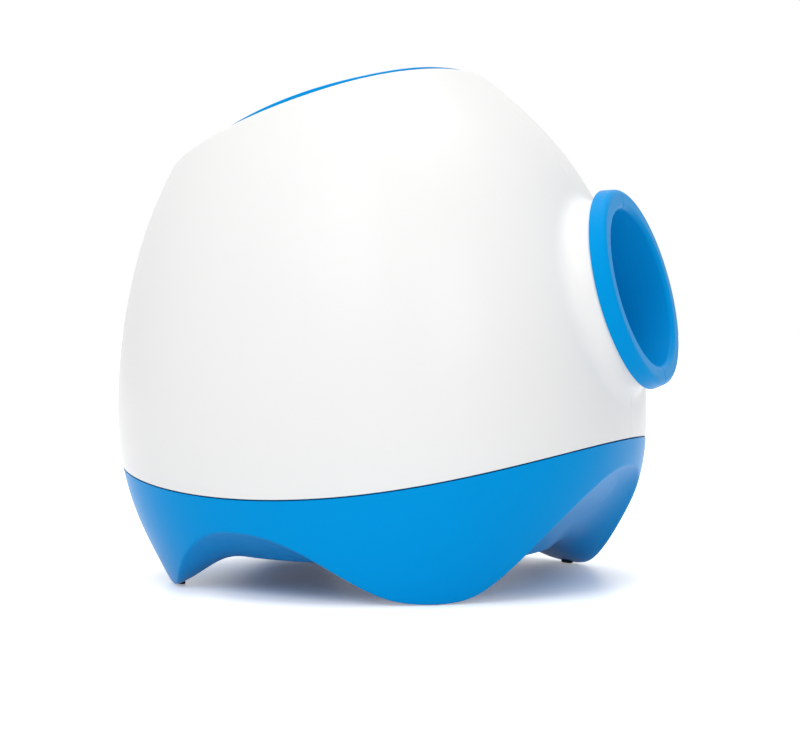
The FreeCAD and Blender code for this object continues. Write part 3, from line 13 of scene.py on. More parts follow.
import bpy
import numpy as np
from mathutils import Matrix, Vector

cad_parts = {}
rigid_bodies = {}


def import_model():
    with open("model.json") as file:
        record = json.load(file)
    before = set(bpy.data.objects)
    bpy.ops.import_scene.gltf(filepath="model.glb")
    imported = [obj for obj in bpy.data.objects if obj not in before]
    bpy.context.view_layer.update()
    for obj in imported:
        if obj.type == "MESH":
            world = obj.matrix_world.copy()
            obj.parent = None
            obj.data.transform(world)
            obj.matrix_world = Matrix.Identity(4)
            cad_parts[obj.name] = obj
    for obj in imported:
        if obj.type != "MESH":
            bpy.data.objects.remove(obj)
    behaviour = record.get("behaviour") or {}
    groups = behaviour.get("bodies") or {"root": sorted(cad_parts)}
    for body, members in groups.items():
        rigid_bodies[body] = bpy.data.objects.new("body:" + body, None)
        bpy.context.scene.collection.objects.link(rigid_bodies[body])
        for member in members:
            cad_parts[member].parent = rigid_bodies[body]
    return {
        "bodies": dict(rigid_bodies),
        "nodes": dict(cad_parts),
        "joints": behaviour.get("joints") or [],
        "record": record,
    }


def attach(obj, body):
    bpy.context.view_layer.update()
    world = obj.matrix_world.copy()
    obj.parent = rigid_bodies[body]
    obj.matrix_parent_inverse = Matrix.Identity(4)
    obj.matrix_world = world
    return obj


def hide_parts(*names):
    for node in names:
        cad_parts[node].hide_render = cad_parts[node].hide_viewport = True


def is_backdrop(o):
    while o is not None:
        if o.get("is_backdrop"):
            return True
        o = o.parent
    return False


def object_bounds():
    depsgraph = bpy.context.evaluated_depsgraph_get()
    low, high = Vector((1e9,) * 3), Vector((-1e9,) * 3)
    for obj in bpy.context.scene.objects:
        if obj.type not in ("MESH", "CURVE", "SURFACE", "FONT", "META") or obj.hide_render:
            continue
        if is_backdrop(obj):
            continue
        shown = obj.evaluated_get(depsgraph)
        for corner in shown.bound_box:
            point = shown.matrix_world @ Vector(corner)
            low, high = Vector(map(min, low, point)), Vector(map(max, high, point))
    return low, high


LOG = logging.getLogger("ball_launcher")
MM = 0.001
Colour = tuple[float, float, float]
Test = Callable[[np.ndarray], np.ndarray]
BLACK: Colour = (0.0, 0.0, 0.0)
WHITE: Colour = (1.0, 1.0, 1.0)


# Shader maths


class Signal:
    """A number that changes over a surface, held as a shader socket."""

    def __init__(self, graph: Graph, socket: bpy.types.NodeSocket) -> None:
        """Wrap a socket of a graph."""
        self.graph = graph
        self.socket = socket

    def _maths(self, operation: str, other: Signal | float) -> Signal:
        """Return the result of one Math node on this and another."""
        node = self.graph.node("ShaderNodeMath", {0: self, 1: other}, operation=operation)
        return Signal(self.graph, node.outputs[0])

    def __add__(self, other: Signal | float) -> Signal:
        """Return the sum."""
        return self._maths("ADD", other)

    __radd__ = __add__

    def __sub__(self, other: Signal | float) -> Signal:
        """Return this less another."""
        return self._maths("SUBTRACT", other)

    def __mul__(self, other: Signal | float) -> Signal:
        """Return the product."""
        return self._maths("MULTIPLY", other)


class Graph:
    """The node tree of one material, or of the world."""

    def __init__(self, owner: bpy.types.Material | bpy.types.World) -> None:
        """Start with an empty tree.

        Args:
            owner: The material or world that the tree belongs to.
        """
        owner.use_nodes = True
        self.owner = owner
        self.tree = owner.node_tree
        self.tree.nodes.clear()

    def node(self, kind: str, inputs: dict[Any, Any] | None = None, **settings: Any) -> bpy.types.Node:
        """Add a node.

        Args:
            kind: The node's type.
            inputs: Values, sockets or signals for its inputs, by index or name.
            settings: Properties to set first.

        Returns:
            The new node.
        """
        made = self.tree.nodes.new(kind)
        for key, value in settings.items():
            setattr(made, key, value)
        for key, value in (inputs or {}).items():
            if isinstance(value, Signal):
                value = value.socket
            if isinstance(value, bpy.types.NodeSocket):
                self.tree.links.new(value, made.inputs[key])
            else:
                made.inputs[key].default_value = value
        return made

    def place(self) -> bpy.types.NodeSocket:
        """Return the object's own coordinates, in metres."""
        return self.node("ShaderNodeTexCoord").outputs["Object"]

    def noise(self, scale: float, detail: float = 2.0, place: bpy.types.NodeSocket | None = None) -> Signal:
        """Return a noise over the object's own coordinates.

        Args:
            scale: Waves per metre.
            detail: Octaves of finer noise.
            place: Another coordinate socket, if any.

        Returns:
            The noise, from 0 to 1.
        """
        place = place or self.place()
        texture = self.node("ShaderNodeTexNoise", {"Vector": place, "Scale": scale, "Detail": detail})
        return Signal(self, texture.outputs["Fac"])

    def blend(self, factor: Signal, first: Sequence[float], second: Sequence[float]) -> bpy.types.NodeSocket:
        """Return a colour between two others."""
        inputs = {0: factor, 6: (*first, 1.0), 7: (*second, 1.0)}
        return self.node("ShaderNodeMix", inputs, data_type="RGBA").outputs[2]

    def shown(self) -> Signal:
        """Return 1 for what the camera sees, straight, in a reflection or through glass, and otherwise 0."""
        paths = self.node("ShaderNodeLightPath").outputs
        kinds = ("Is Camera Ray", "Is Glossy Ray", "Is Transmission Ray")
        first, second, third = (Signal(self, paths[kind]) for kind in kinds)
        total = self.node("ShaderNodeMath", {0: first + second, 1: third}, operation="ADD", use_clamp=True)
        return Signal(self, total.outputs[0])

    def finish(self, shader: bpy.types.Node, output: str = "Material") -> Any:
        """Connect the last shader and return the material or world."""
        self.node(f"ShaderNodeOutput{output}", {"Surface": shader.outputs[0]})
        return self.owner

    def plastered(self, height: Signal, strength: float, depth: float, inputs: dict[str, Any]) -> Any:
        """Finish the material with one surface shader and a bump.

        Args:
            height: What the bump follows.
            strength: The bump's strength.
            depth: The bump's depth, in metres.
            inputs: The surface's other inputs.

        Returns:
            The material.
        """
        bump = self.node("ShaderNodeBump", {"Strength": strength, "Distance": depth, "Height": height})
        inputs = {"Normal": bump.outputs["Normal"], **inputs}
        return self.finish(self.node("ShaderNodeBsdfPrincipled", inputs))


# Finishes


@dataclass(frozen=True)
class Moulded:
    """Moulded plastic or rubber: an even colour with a faint mottle, a skin ripple and fine grain."""

    name: str
    colour: Colour
    roughness: float = 0.3
    roughness_spread: float = 0.06
    mottle: float = 0.03
    grain: float = 0.03
    grain_scale: float = 900.0
    ripple: float = 0.0
    coat: float = 0.0
    coat_roughness: float = 0.1
    specular: float = 0.5
    specular_tint: Colour = WHITE
    cloud_scale: float = 14.0
    patch_scale: float = 45.0
    ripple_scale: float = 60.0
    bump: tuple[float, float] = (0.35, 0.0004)

    def material(self) -> bpy.types.Material:
        """Build the material and return it."""
        graph = Graph(bpy.data.materials.new(self.name))
        shade = tuple(max(0.0, channel * (1.0 - self.mottle)) for channel in self.colour)
        tint = tuple(min(1.0, channel * (1.0 + self.mottle)) for channel in self.colour)
        height = graph.noise(self.grain_scale, 3.0) * self.grain
        if self.ripple:
            height = height + graph.noise(self.ripple_scale, 1.0) * self.ripple
        patches = graph.noise(self.patch_scale, 4.0) - 0.5
        return graph.plastered(height, *self.bump, {
            "Base Color": graph.blend(graph.noise(self.cloud_scale, 3.0), shade, tint),
            "Roughness": self.roughness + patches * self.roughness_spread * 2.0,
            "Coat Weight": self.coat,
            "Coat Roughness": self.coat_roughness,
            "Specular IOR Level": self.specular,
            "Specular Tint": (*self.specular_tint, 1.0),
        })


@dataclass(frozen=True)
class Metal:
    """Turned, drawn or plated metal with fine tool lines and cloudy dulling."""

    name: str
    colour: Colour
    roughness: float = 0.3
    line_scale: float = 700.0
    stretch: tuple[float, float, float] = (1.0, 1.0, 0.05)
    cloud_scale: float = 40.0
    dulling: float = 0.82
    roughness_spread: float = 0.16
    bump: tuple[float, float] = (0.12, 0.0003)

    def material(self) -> bpy.types.Material:
        """Build the material and return it."""
        graph = Graph(bpy.data.materials.new(self.name))
        along = graph.node("ShaderNodeMapping", {"Vector": graph.place(), "Scale": self.stretch}).outputs[0]
        lines = graph.noise(self.line_scale, 2.0, along)
        dull = tuple(channel * self.dulling for channel in self.colour)
        return graph.plastered(lines, *self.bump, {
            "Base Color": graph.blend(graph.noise(self.cloud_scale, 3.0), dull, self.colour),
            "Metallic": 1.0,
            "Roughness": self.roughness + (lines - 0.5) * self.roughness_spread,
        })


@dataclass(frozen=True)
class Circuit:
    """A lacquered circuit board with copper tracks showing through as raised lighter lines."""

    name: str
    colour: Colour
    track: Colour
    scale: float = 180.0
    width: float = 0.06
    offset: float = 0.35
    bump: tuple[float, float] = (0.3, 0.0001)

    def material(self) -> bpy.types.Material:
        """Build the material and return it."""
        graph = Graph(bpy.data.materials.new(self.name))
        black, white = (*BLACK, 1.0), (*WHITE, 1.0)
        bricks = graph.node("ShaderNodeTexBrick", {
            "Vector": graph.place(), "Scale": self.scale, "Mortar Size": self.width, "Color1": black,
            "Color2": black, "Mortar": white,
        }, offset=self.offset)
        tracks = Signal(graph, bricks.outputs["Fac"])
        return graph.plastered(tracks, *self.bump, {
            "Base Color": graph.blend(tracks, self.colour, self.track),
            "Roughness": 0.32 + graph.noise(120.0) * 0.1,
        })


class Finish(Enum):
    """The launcher's finishes, by the record's material slot."""

    WHITE_GLOSS = Moulded("white_gloss", (0.86, 0.86, 0.85), 0.31, 0.02, 0.006, 0.008, specular=0.2)
    BLUE_GLOSS = Moulded("blue_gloss", (0.0016, 0.30, 0.72), 0.34, 0.04, 0.015, 0.012, coat_roughness=0.2,
                         specular=0.07, specular_tint=(0.03, 0.45, 1.0))
    DARK_PLASTIC = Moulded("dark_plastic", (0.045, 0.05, 0.058), 0.46, 0.08, 0.06, 0.25, 1500.0)
    BUTTON_PLASTIC = Moulded("button_plastic", (0.62, 0.65, 0.68), 0.34, 0.05, 0.02, 0.05, 1200.0)
    CLEAR_PLASTIC = Moulded("clear_plastic", (0.55, 0.75, 0.62), 0.12, 0.03, 0.05, 0.02, 800.0,
                            coat=0.6, coat_roughness=0.05)
    PAD_RUBBER = Moulded("pad_rubber", (0.018, 0.018, 0.02), 0.78, 0.08, 0.10, 0.5, 1400.0)
    TYRE_RUBBER = Moulded("tyre_rubber", (0.03, 0.03, 0.032), 0.82, 0.08, 0.12, 0.8, 1100.0)
    STEEL = Metal("steel", (0.62, 0.63, 0.65), 0.28)
    MOTOR_STEEL = Metal("motor_steel", (0.45, 0.46, 0.48), 0.36, 500.0)
    BRASS = Metal("brass", (0.72, 0.50, 0.20), 0.26)
    GEAR_PLASTIC = Moulded("gear_plastic", (0.72, 0.69, 0.60), 0.42, 0.06, 0.04, 0.1, 1200.0)
    BOARD_GREEN = Circuit("board_green", (0.008, 0.10, 0.035), (0.03, 0.21, 0.08))
    COMPONENT_BLACK = Moulded("component_black", (0.015, 0.015, 0.017), 0.55, 0.08, 0.08, 0.3, 1600.0)
    BATTERY_WRAP = Moulded("battery_wrap", (0.02, 0.09, 0.22), 0.25, 0.06, 0.05, 0.05, 500.0, 0.5, 0.3, 0.15)
    LEAD_RUBBER = Moulded("lead_rubber", (0.14, 0.012, 0.012), 0.48, 0.06, 0.05, 0.2, 1500.0)
    ICON_INK = Moulded("icon_ink", (0.05, 0.06, 0.07), 0.4, 0.04, 0.03, 0.05, 1500.0)


class Palette:
    """Builds each finish once."""

    def __init__(self) -> None:
        """Start with nothing built."""
        self._made: dict[Finish, bpy.types.Material] = {}

    def of(self, finish: Finish) -> bpy.types.Material:
        """Return a finish's material."""
        if finish not in self._made:
            self._made[finish] = finish.value.material()
        return self._made[finish]


# Forms, in millimetres


class Hand(Enum):
    """The launcher's left and right, by the sign of Y."""

    LEFT = 1
    RIGHT = -1


def upright(radius: np.ndarray, angle: np.ndarray, height: np.ndarray) -> np.ndarray:
    """Return points about the upright axis, from their distances, angles and heights."""
    return np.stack(np.broadcast_arrays(radius * np.cos(angle), radius * np.sin(angle), height), -1)


def unit(vectors: np.ndarray) -> np.ndarray:
    """Return vectors brought to a length of 1."""
    return vectors / np.linalg.norm(vectors, axis=-1, keepdims=True)


def halved(holds: Test, near: np.ndarray, far: np.ndarray, steps: int) -> np.ndarray:
    """Return how far a test holds, by halving a span again and again.

    Args:
        holds: The test.
        near: The end of the span where it holds.
        far: The other end.
        steps: How often the span is halved.

    Returns:
        The last places where it holds.
    """
    for _ in range(steps):
        middle = (near + far) / 2
        held = holds(middle)
        near = np.where(held, middle, near)
        far = np.where(held, far, middle)
    return near


@dataclass(frozen=True)
class SmoothCurve:
    """A natural cubic through given places and values."""

    places: tuple[float, ...]
    values: tuple[float, ...]

    def __call__(self, at: np.ndarray) -> np.ndarray:
        """Return the curve's values, which run on along the end spans outside the places."""
        x, y = np.array(self.places), np.array(self.values)
        step = np.diff(x)
        count = len(x)
        matrix = np.eye(count)
        right = np.zeros(count)
        for row in range(1, count - 1):
            matrix[row, row - 1:row + 2] = step[row - 1], 2 * (step[row - 1] + step[row]), step[row]
            right[row] = 6 * ((y[row + 1] - y[row]) / step[row] - (y[row] - y[row - 1]) / step[row - 1])
        bend = np.linalg.solve(matrix, right)
        at = np.asarray(at, float)
        span = np.clip(np.searchsorted(x, at) - 1, 0, count - 2)
        width = step[span]
        low = (x[span + 1] - at) / width
        high = 1 - low
        curved = ((low ** 3 - low) * bend[span] + (high ** 3 - high) * bend[span + 1]) * width ** 2 / 6
        return low * y[span] + high * y[span + 1] + curved


@dataclass(frozen=True)
class Circle:
    """A circle in the launcher's middle plane, as used for the two arcs that trim the body."""

    x: float
    z: float
    radius: float

    def low(self, x: np.ndarray) -> np.ndarray:
        """Return the lower height of the circle at x."""
        return self.z - np.sqrt(self.radius ** 2 - (x - self.x) ** 2)

    def high(self, x: np.ndarray) -> np.ndarray:
        """Return the upper height of the circle at x."""
        return self.z + np.sqrt(self.radius ** 2 - (x - self.x) ** 2)

    def over(self, plan: np.ndarray, rise: Any = 0.0) -> np.ndarray:
        """Return the points over places in plan that lie on the circle's upper side, or a rise above it."""
        return np.concatenate([plan, (self.high(plan[:, 0]) + rise)[:, None]], -1)


@dataclass(frozen=True)
class BodyForm:
    """The egg-shaped body that the white shells and the blue base share."""

    heights: tuple[float, ...] = (0.0, 32.0, 62.0, 102.0, 152.0, 202.0, 242.0, 277.0, 302.0)
    fronts: tuple[float, ...] = (117.0, 129.0, 139.5, 142.5, 138.0, 121.0, 97.5, 64.0, 31.5)
    backs: tuple[float, ...] = (-126.0, -146.0, -158.0, -162.0, -157.5, -145.5, -127.5, -109.0, -101.5)
    half_widths: tuple[float, ...] = (132.0, 137.0, 139.5, 142.0, 137.0, 124.0, 107.0, 87.0, 73.0)
    squareness: float = 2.2
    widest: float = 0.55
    wall: float = 3.0
    seam: Circle = Circle(-35.4, 604.8, 550.0)
    seam_gap: float = 0.7
    rim_back: tuple[float, float] = (-119.0, 238.0)
    rim_front: tuple[float, float] = (43.0, 292.7)
    rim_bulge: float = 3.0
    first_seam: float = 60.0
    first_rim: float = 265.0
    outside: float = 300.0

    @property
    def rim(self) -> Circle:
        """The arc of the body's top edge."""
        back, front = np.array(self.rim_back), np.array(self.rim_front)
        chord = np.linalg.norm(front - back)
        radius = (chord ** 2 / 4 + self.rim_bulge ** 2) / (2 * self.rim_bulge)
        along = (front - back) / chord
        centre = (front + back) / 2 + np.array((along[1], -along[0])) * (radius - self.rim_bulge)
        return Circle(float(centre[0]), float(centre[1]), float(radius))

    def inside(self, points: np.ndarray, inset: float = 0.0) -> np.ndarray:
        """Return whether points lie inside the body.

        Args:
            points: Points, the last axis being x, y, z.
            inset: How far the body is shrunk.

        Returns:
            True for each point inside.
        """
        height = points[..., 2]
        front = SmoothCurve(self.heights, self.fronts)(height) - inset
        back = SmoothCurve(self.heights, self.backs)(height) + inset
        half_width = SmoothCurve(self.heights, self.half_widths)(height) - inset
        centre = back + self.widest * (front - back)
        x = points[..., 0] - centre
        reach = np.where(x > 0, front - centre, centre - back)
        power = self.squareness
        return np.abs(x / reach) ** power + np.abs(points[..., 1] / half_width) ** power < 1

    def radius(self, angle: np.ndarray, height: np.ndarray, inset: float = 0.0) -> np.ndarray:
        """Return the distance from the upright axis to the wall.

        Args:
            angle: Angle from the front, in radians.
            height: Height above the floor.
            inset: How far the body is shrunk.

        Returns:
            The distance for each angle and height.
        """
        angle, height = np.broadcast_arrays(angle, height)
        return halved(lambda away: self.inside(upright(away, angle, height), inset),
                      np.zeros(angle.shape), np.full(angle.shape, self.outside), 36)

    def point(self, angle: np.ndarray, height: np.ndarray, inset: float = 0.0) -> np.ndarray:
        """Return the wall's point at an angle and a height."""
        return upright(self.radius(angle, height, inset), angle, height)

    def _meeting(self, angle: np.ndarray, arc: Test, height: float, rounds: int) -> np.ndarray:
        """Return the heights at which the wall meets an arc, starting from a guess."""
        heights = np.full(np.shape(angle), height)
        for _ in range(rounds):
            heights = arc(self.radius(angle, heights) * np.cos(angle))
        return heights

    def seam_height(self, angle: np.ndarray, drop: float = 0.0) -> np.ndarray:
        """Return the height of the arc between shells and base, or of one a little lower."""
        arc = Circle(self.seam.x, self.seam.z, self.seam.radius + drop)
        return self._meeting(angle, arc.low, self.first_seam, 25)

    def rim_height(self, angle: np.ndarray) -> np.ndarray:
        """Return the height of the body's top edge."""
        return self._meeting(angle, self.rim.high, self.first_rim, 60)


@dataclass(frozen=True)
class Axis:
    """A straight axis in the middle plane that leaves the body, such as the barrel's."""

    x: float
    z: float
    tilt: float

    @property
    def out(self) -> np.ndarray:
        """The way along the axis, out of the body."""
        return np.array((math.cos(self.tilt), 0.0, math.sin(self.tilt)))

    @property
    def up(self) -> np.ndarray:
        """The way across the axis, upwards in the middle plane."""
        return np.array((-math.sin(self.tilt), 0.0, math.cos(self.tilt)))

    def at(self, along: Any, radius: Any, turn: Any) -> np.ndarray:
        """Return points about the axis.

        Args:
            along: Distance out along the axis.
            radius: Distance from the axis.
            turn: Angle about it, from +Y towards up.

        Returns:
            The points.
        """
        along, radius, turn = (np.asarray(value, float)[..., None] for value in (along, radius, turn))
        side = np.array((0.0, 1.0, 0.0))
        origin = np.array((self.x, 0.0, self.z))
        return origin + along * self.out + radius * (np.cos(turn) * side + np.sin(turn) * self.up)

    def polar(self, points: np.ndarray) -> tuple[np.ndarray, np.ndarray]:
        """Return the distance from the axis and the turn about it of points."""
        up = (points - np.array((self.x, 0.0, self.z))) @ self.up
        return np.hypot(points[..., 1], up), np.arctan2(up, points[..., 1])


LAUNCH = Axis(149.8, 168.8, math.radians(14.25))
PANEL = Axis(-161.9, 138.0, math.pi)


def rounded_corner(start: np.ndarray, corner: np.ndarray, end: np.ndarray, steps: int) -> np.ndarray:
    """Return points round a corner that touch both its sides.

    Args:
        start: Where the rounding begins, on one side of the corner.
        corner: The sharp corner.
        end: Where the rounding ends, as far from the corner as start.
        steps: How many spans it has.

    Returns:
        The points, steps + 1 of them on a new second axis.
    """
    first, second = start - corner, end - corner
    lengths = np.linalg.norm(first, axis=-1) * np.linalg.norm(second, axis=-1)
    half_inner = np.arccos(np.clip((first * second).sum(-1) / np.maximum(lengths, 1e-9), -1, 1)) / 2
    share = np.linspace(0, 1, steps + 1)[:, None]
    ends = (1 - share) ** 2 * start[..., None, :] + share ** 2 * end[..., None, :]
    pull = 2 * share * (1 - share) * np.sin(half_inner)[..., None, None]
    return (ends + pull * corner[..., None, :]) / ((1 - share) ** 2 + share ** 2 + pull)


# Meshes


class Sheet:
    """Vertices and faces collected into one mesh."""

    def __init__(self) -> None:
        """Start empty."""
        self.points: list[np.ndarray] = []
        self.faces: list[tuple[int, ...]] = []
        self.count = 0

    def add(self, points: Sequence[np.ndarray] | np.ndarray) -> np.ndarray:
        """Add points and return their numbers, in the points' own layout."""
        points = np.array(points)
        flat = points.reshape(-1, 3)
        numbers = np.arange(self.count, self.count + len(flat)).reshape(points.shape[:-1])
        self.points.append(flat)
        self.count += len(flat)
        return numbers

    def places(self, numbers: np.ndarray) -> np.ndarray:
        """Return the points that have these numbers."""
        return np.vstack(self.points)[numbers]

    def quads(self, numbers: np.ndarray, rows: bool = False, columns: bool = False,
              skip: np.ndarray | None = None, flip: bool = False) -> None:
        """Add the quads of a grid of vertex numbers.

        Args:
            numbers: Vertex numbers by row and column.
            rows: Whether the last row joins the first.
            columns: Whether the last column joins the first.
            skip: Cells to leave open.
            flip: Whether the faces are turned over.
        """
        if rows:
            numbers = np.vstack([numbers, numbers[:1]])
        if columns:
            numbers = np.hstack([numbers, numbers[:, :1]])
        corners = np.stack([numbers[:-1, :-1], numbers[:-1, 1:], numbers[1:, 1:], numbers[1:, :-1]], -1)
        if skip is not None:
            corners = corners[~skip]
        for quad in corners.reshape(-1, 4).tolist():
            if len(set(quad)) > 2:
                self.faces.append(tuple(quad[::-1] if flip else quad))

    def ends(self, numbers: np.ndarray, flip: bool = False) -> None:
        """Close both ends of a grid whose rows join up, at its first and last column."""
        for column, turned in ((0, flip), (-1, not flip)):
            ring = numbers[:, column].tolist()
            self.faces.append(tuple(ring[::-1] if turned else ring))

    def halves(self) -> Iterator[tuple[str, Sheet]]:
        """Yield the left side's name with this sheet, and the right side's with its mirror image."""
        other = Sheet()
        other.points = [points * np.array((1.0, Hand.RIGHT.value, 1.0)) for points in self.points]
        other.faces = [face[::-1] for face in self.faces]
        other.count = self.count
        for hand, sheet in ((Hand.LEFT, self), (Hand.RIGHT, other)):
            yield hand.name.lower(), sheet

    def object(self, name: str, material: bpy.types.Material) -> bpy.types.Object:
        """Make the mesh object.

        Args:
            name: The piece's name.
            material: Its finish.

        Returns:
            The object, smooth shaded, with unused vertices left out.
        """
        points = np.vstack(self.points) * MM
        used = np.unique(np.concatenate([np.array(face) for face in self.faces]))
        renumber = np.full(len(points), -1)
        renumber[used] = np.arange(len(used))
        mesh = bpy.data.meshes.new(name)
        faces = [[int(renumber[number]) for number in dict.fromkeys(face)] for face in self.faces]
        mesh.from_pydata(points[used].tolist(), [], faces)
        mesh.validate()
        mesh.polygons.foreach_set("use_smooth", [True] * len(mesh.polygons))
        mesh.materials.append(material)
        mesh.update()
        made = bpy.data.objects.new(name, mesh)
        bpy.context.scene.collection.objects.link(made)
        return made


@dataclass
class Assembly:
    """What every sub-assembly shares: palette, body form, and the way a piece joins the launcher."""

    palette: Palette
    form: BodyForm

    def soften(self, piece: bpy.types.Object, width: float, angle: float = 60.0) -> None:
        """Round a piece's sharp edges.

        Args:
            piece: The piece.
            width: The rounding's width in millimetres.
            angle: The least angle between faces that counts as an edge, in degrees.
        """
        bevel = piece.modifiers.new("edge_round", "BEVEL")
        bevel.width = width * MM
        bevel.segments = 2
        bevel.limit_method = "ANGLE"
        bevel.angle_limit = math.radians(angle)
        bevel.use_clamp_overlap = True
        even = piece.modifiers.new("even_normals", "WEIGHTED_NORMAL")
        even.keep_sharp = True

    def join(self, piece: bpy.types.Object, body: str, slot: str, *nodes: str) -> None:
        """Make a piece ride on a body and stand for its nodes.

        Args:
            piece: The piece.
            body: The body it moves with.
            slot: The record's material slot; not used.
            nodes: The solids it stands for.
        """
        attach(piece, body)
        if nodes:
            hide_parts(*nodes)
        LOG.info("%s: %d faces, on %s", piece.name, len(piece.data.polygons), body)


# White shells


@dataclass(frozen=True)
class Block:
    """A block of the shells' wall, at the front or the back, that runs in to a circle about an axis."""

    axis: Axis
    front: bool
    limit: float
    heights: tuple[float, float]
    root: float


@dataclass
class ShellSizes:
    """Sizes of the two white mouldings."""

    half_gap: float = 0.12
    rim_round: float = 7.0
    rim_steps: int = 9
    edge_round: float = 0.35
    edge_angle: float = 35.0
    column_step: float = 1.5
    wall_rows: int = 76
    opening: tuple[float, float, float] = (-37.0, 72.4, 71.9)
    opening_rows: tuple[float, ...] = (0.35, 0.7, 1.0)
    least_margin: float = 0.995
    search: tuple[float, float] = (-90.0, 30.0)
    probe: float = 0.5
    neck: Block = Block(LAUNCH, True, 37.5, (0.035, 0.80), 62.5)
    panel: Block = Block(PANEL, False, 163.5, (0.16, 0.66), 30.3)
    port_rows: int = 11
    neck_face: float = -9.95
    neck_radius: float = 53.8
    neck_pulls: tuple[float, float] = (0.5, 0.42)
    neck_rows: int = 12


@dataclass
class WhiteShells(Assembly):
    """The glossy body: two mouldings that meet on the middle plane, with a neck round the barrel."""

    sizes: ShellSizes = field(default_factory=ShellSizes)

    def _wall(self, angles: np.ndarray) -> np.ndarray:
        """Return the grid of points from the seam, up the wall and over the rounded top edge.

        Args:
            angles: The columns' angles from the front.

        Returns:
            Points by row and column.
        """
        form, sizes, rim = self.form, self.sizes, self.form.rim
        low, top = form.seam_height(angles), form.rim_height(angles)
        corner = form.point(angles, top)
        rising = unit(corner - form.point(angles, top - sizes.probe))
        middle, half_length, half_width = sizes.opening
        inward = unit(np.array((middle, 0.0)) - corner[:, :2])
        slope = rim.high(corner[:, 0] + inward[:, 0]) - rim.high(corner[:, 0])
        level = unit(np.concatenate([inward, slope[:, None]], -1))
        turn = np.arccos(np.clip((rising * level).sum(-1), -1, 1))
        reach = (sizes.rim_round * np.tan(turn / 2))[:, None]
        start = form.point(angles, (corner - rising * reach)[:, 2])
        end = rim.over((corner + level * reach)[:, :2])
        shares = np.linspace(0, 1, sizes.wall_rows)
        rows = [form.point(angles, low + share * (start[:, 2] - low)) for share in shares]
        rows.extend(rounded_corner(start, corner, end, sizes.rim_steps).swapaxes(0, 1)[1:])
        plan = end[:, :2] - np.array((middle, 0.0))
        scale = 1 / np.hypot(plan[:, 0] / half_length, plan[:, 1] / half_width)
        edge = np.array((middle, 0.0)) + plan * np.minimum(scale, sizes.least_margin)[:, None]
        rows.extend(rim.over(end[:, :2] + share * (edge - end[:, :2])) for share in sizes.opening_rows)
        return np.array(rows)

    def _on_body(self, axis: Axis, radius: np.ndarray, turn: np.ndarray) -> np.ndarray:
        """Return the body's points at given distances from an axis, found by running in along it."""
        near, far = (np.full(radius.shape, end) for end in self.sizes.search)
        along = halved(lambda middle: self.form.inside(axis.at(middle, radius, turn)), near, far, 34)
        return axis.at(along, radius, turn)

    def _port(self, sheet: Sheet, numbers: np.ndarray, skip: np.ndarray, block: Block) -> np.ndarray:
        """Open a block of the wall and fill it with strips that run in to a circle about its axis.

        Args:
            sheet: The mesh so far.
            numbers: Numbers of the wall's vertices.
            skip: The wall's cells to leave open, to which the block's cells are added.
            block: The block.

        Returns:
            The numbers of the circle's vertices.
        """
        degrees = np.degrees(np.radians(np.linspace(0, 180, numbers.shape[1])))
        column = int(np.searchsorted(degrees, block.limit))
        first, last = (int(round(share * (self.sizes.wall_rows - 1))) for share in block.heights)
        if block.front:
            skip[first:last, :column] = True
            border = numbers[first, :column], numbers[first:last, column], numbers[last, column::-1]
        else:
            skip[first:last, column:] = True
            border = numbers[last, :column:-1], numbers[last:first:-1, column], numbers[first, column:]
        rows = [np.concatenate(border)]
        points = sheet.places(rows[0])
        radius, turn = block.axis.polar(points)
        for share in np.linspace(0, 1, self.sizes.port_rows + 1)[1:]:
            eased = share * (2 - share) * 0.5 + share * 0.5
            there = self._on_body(block.axis, radius + eased * (block.root - radius), turn)
            there[[0, -1], 1] = points[[0, -1], 1]
            rows.append(sheet.add(there))
        sheet.quads(np.array(rows))
        return rows[-1]

    def _collar(self, sheet: Sheet, neck: np.ndarray) -> None:
        """Add the flared neck between the body and the back of the mouth ring.

        Args:
            sheet: The mesh so far.
            neck: Numbers of the circle on the body where the flare starts.
        """
        sizes = self.sizes
        start = sheet.places(neck)
        radius, turn = LAUNCH.polar(start)
        leaving = unit(start - self._on_body(LAUNCH, radius + sizes.probe, turn))
        end = LAUNCH.at(sizes.neck_face, sizes.neck_radius, turn)
        span = np.linalg.norm(end - start, axis=-1, keepdims=True)
        first = start + leaving * span * sizes.neck_pulls[0]
        second = end - LAUNCH.out * span * sizes.neck_pulls[1]
        rows = [neck]
        for share in np.linspace(0, 1, sizes.neck_rows + 1)[1:]:
            rest = 1 - share
            pulled = 3 * rest ** 2 * share * first + 3 * rest * share ** 2 * second
            there = rest ** 3 * start + pulled + share ** 3 * end
            there[[0, -1], 1] = sizes.half_gap
            rows.append(sheet.add(there))
        sheet.quads(np.array(rows))

    def _half(self) -> Sheet:
        """Return the left half's outer surface."""
        sizes = self.sizes
        grid = self._wall(np.radians(np.linspace(0, 180, int(round(180 / sizes.column_step)) + 1)))
        grid[:, [0, -1], 1] = sizes.half_gap
        sheet = Sheet()
        numbers = sheet.add(grid)
        skip = np.zeros((numbers.shape[0] - 1, numbers.shape[1] - 1), bool)
        self._collar(sheet, self._port(sheet, numbers, skip, sizes.neck))
        self._port(sheet, numbers, skip, sizes.panel)
        sheet.quads(numbers, skip=skip)
        return sheet

    def build(self) -> None:
        """Make both shells."""
        for side, sheet in self._half().halves():
            piece = sheet.object(f"white_shell_{side}", self.palette.of(Finish.WHITE_GLOSS))
            wall = piece.modifiers.new("wall", "SOLIDIFY")
            wall.thickness = self.form.wall * MM
            wall.offset = -1.0
            wall.use_even_offset = True
            self.soften(piece, self.sizes.edge_round, self.sizes.edge_angle)
            self.join(piece, "housing", "white_gloss", f"shell_{side}")


# Blue base


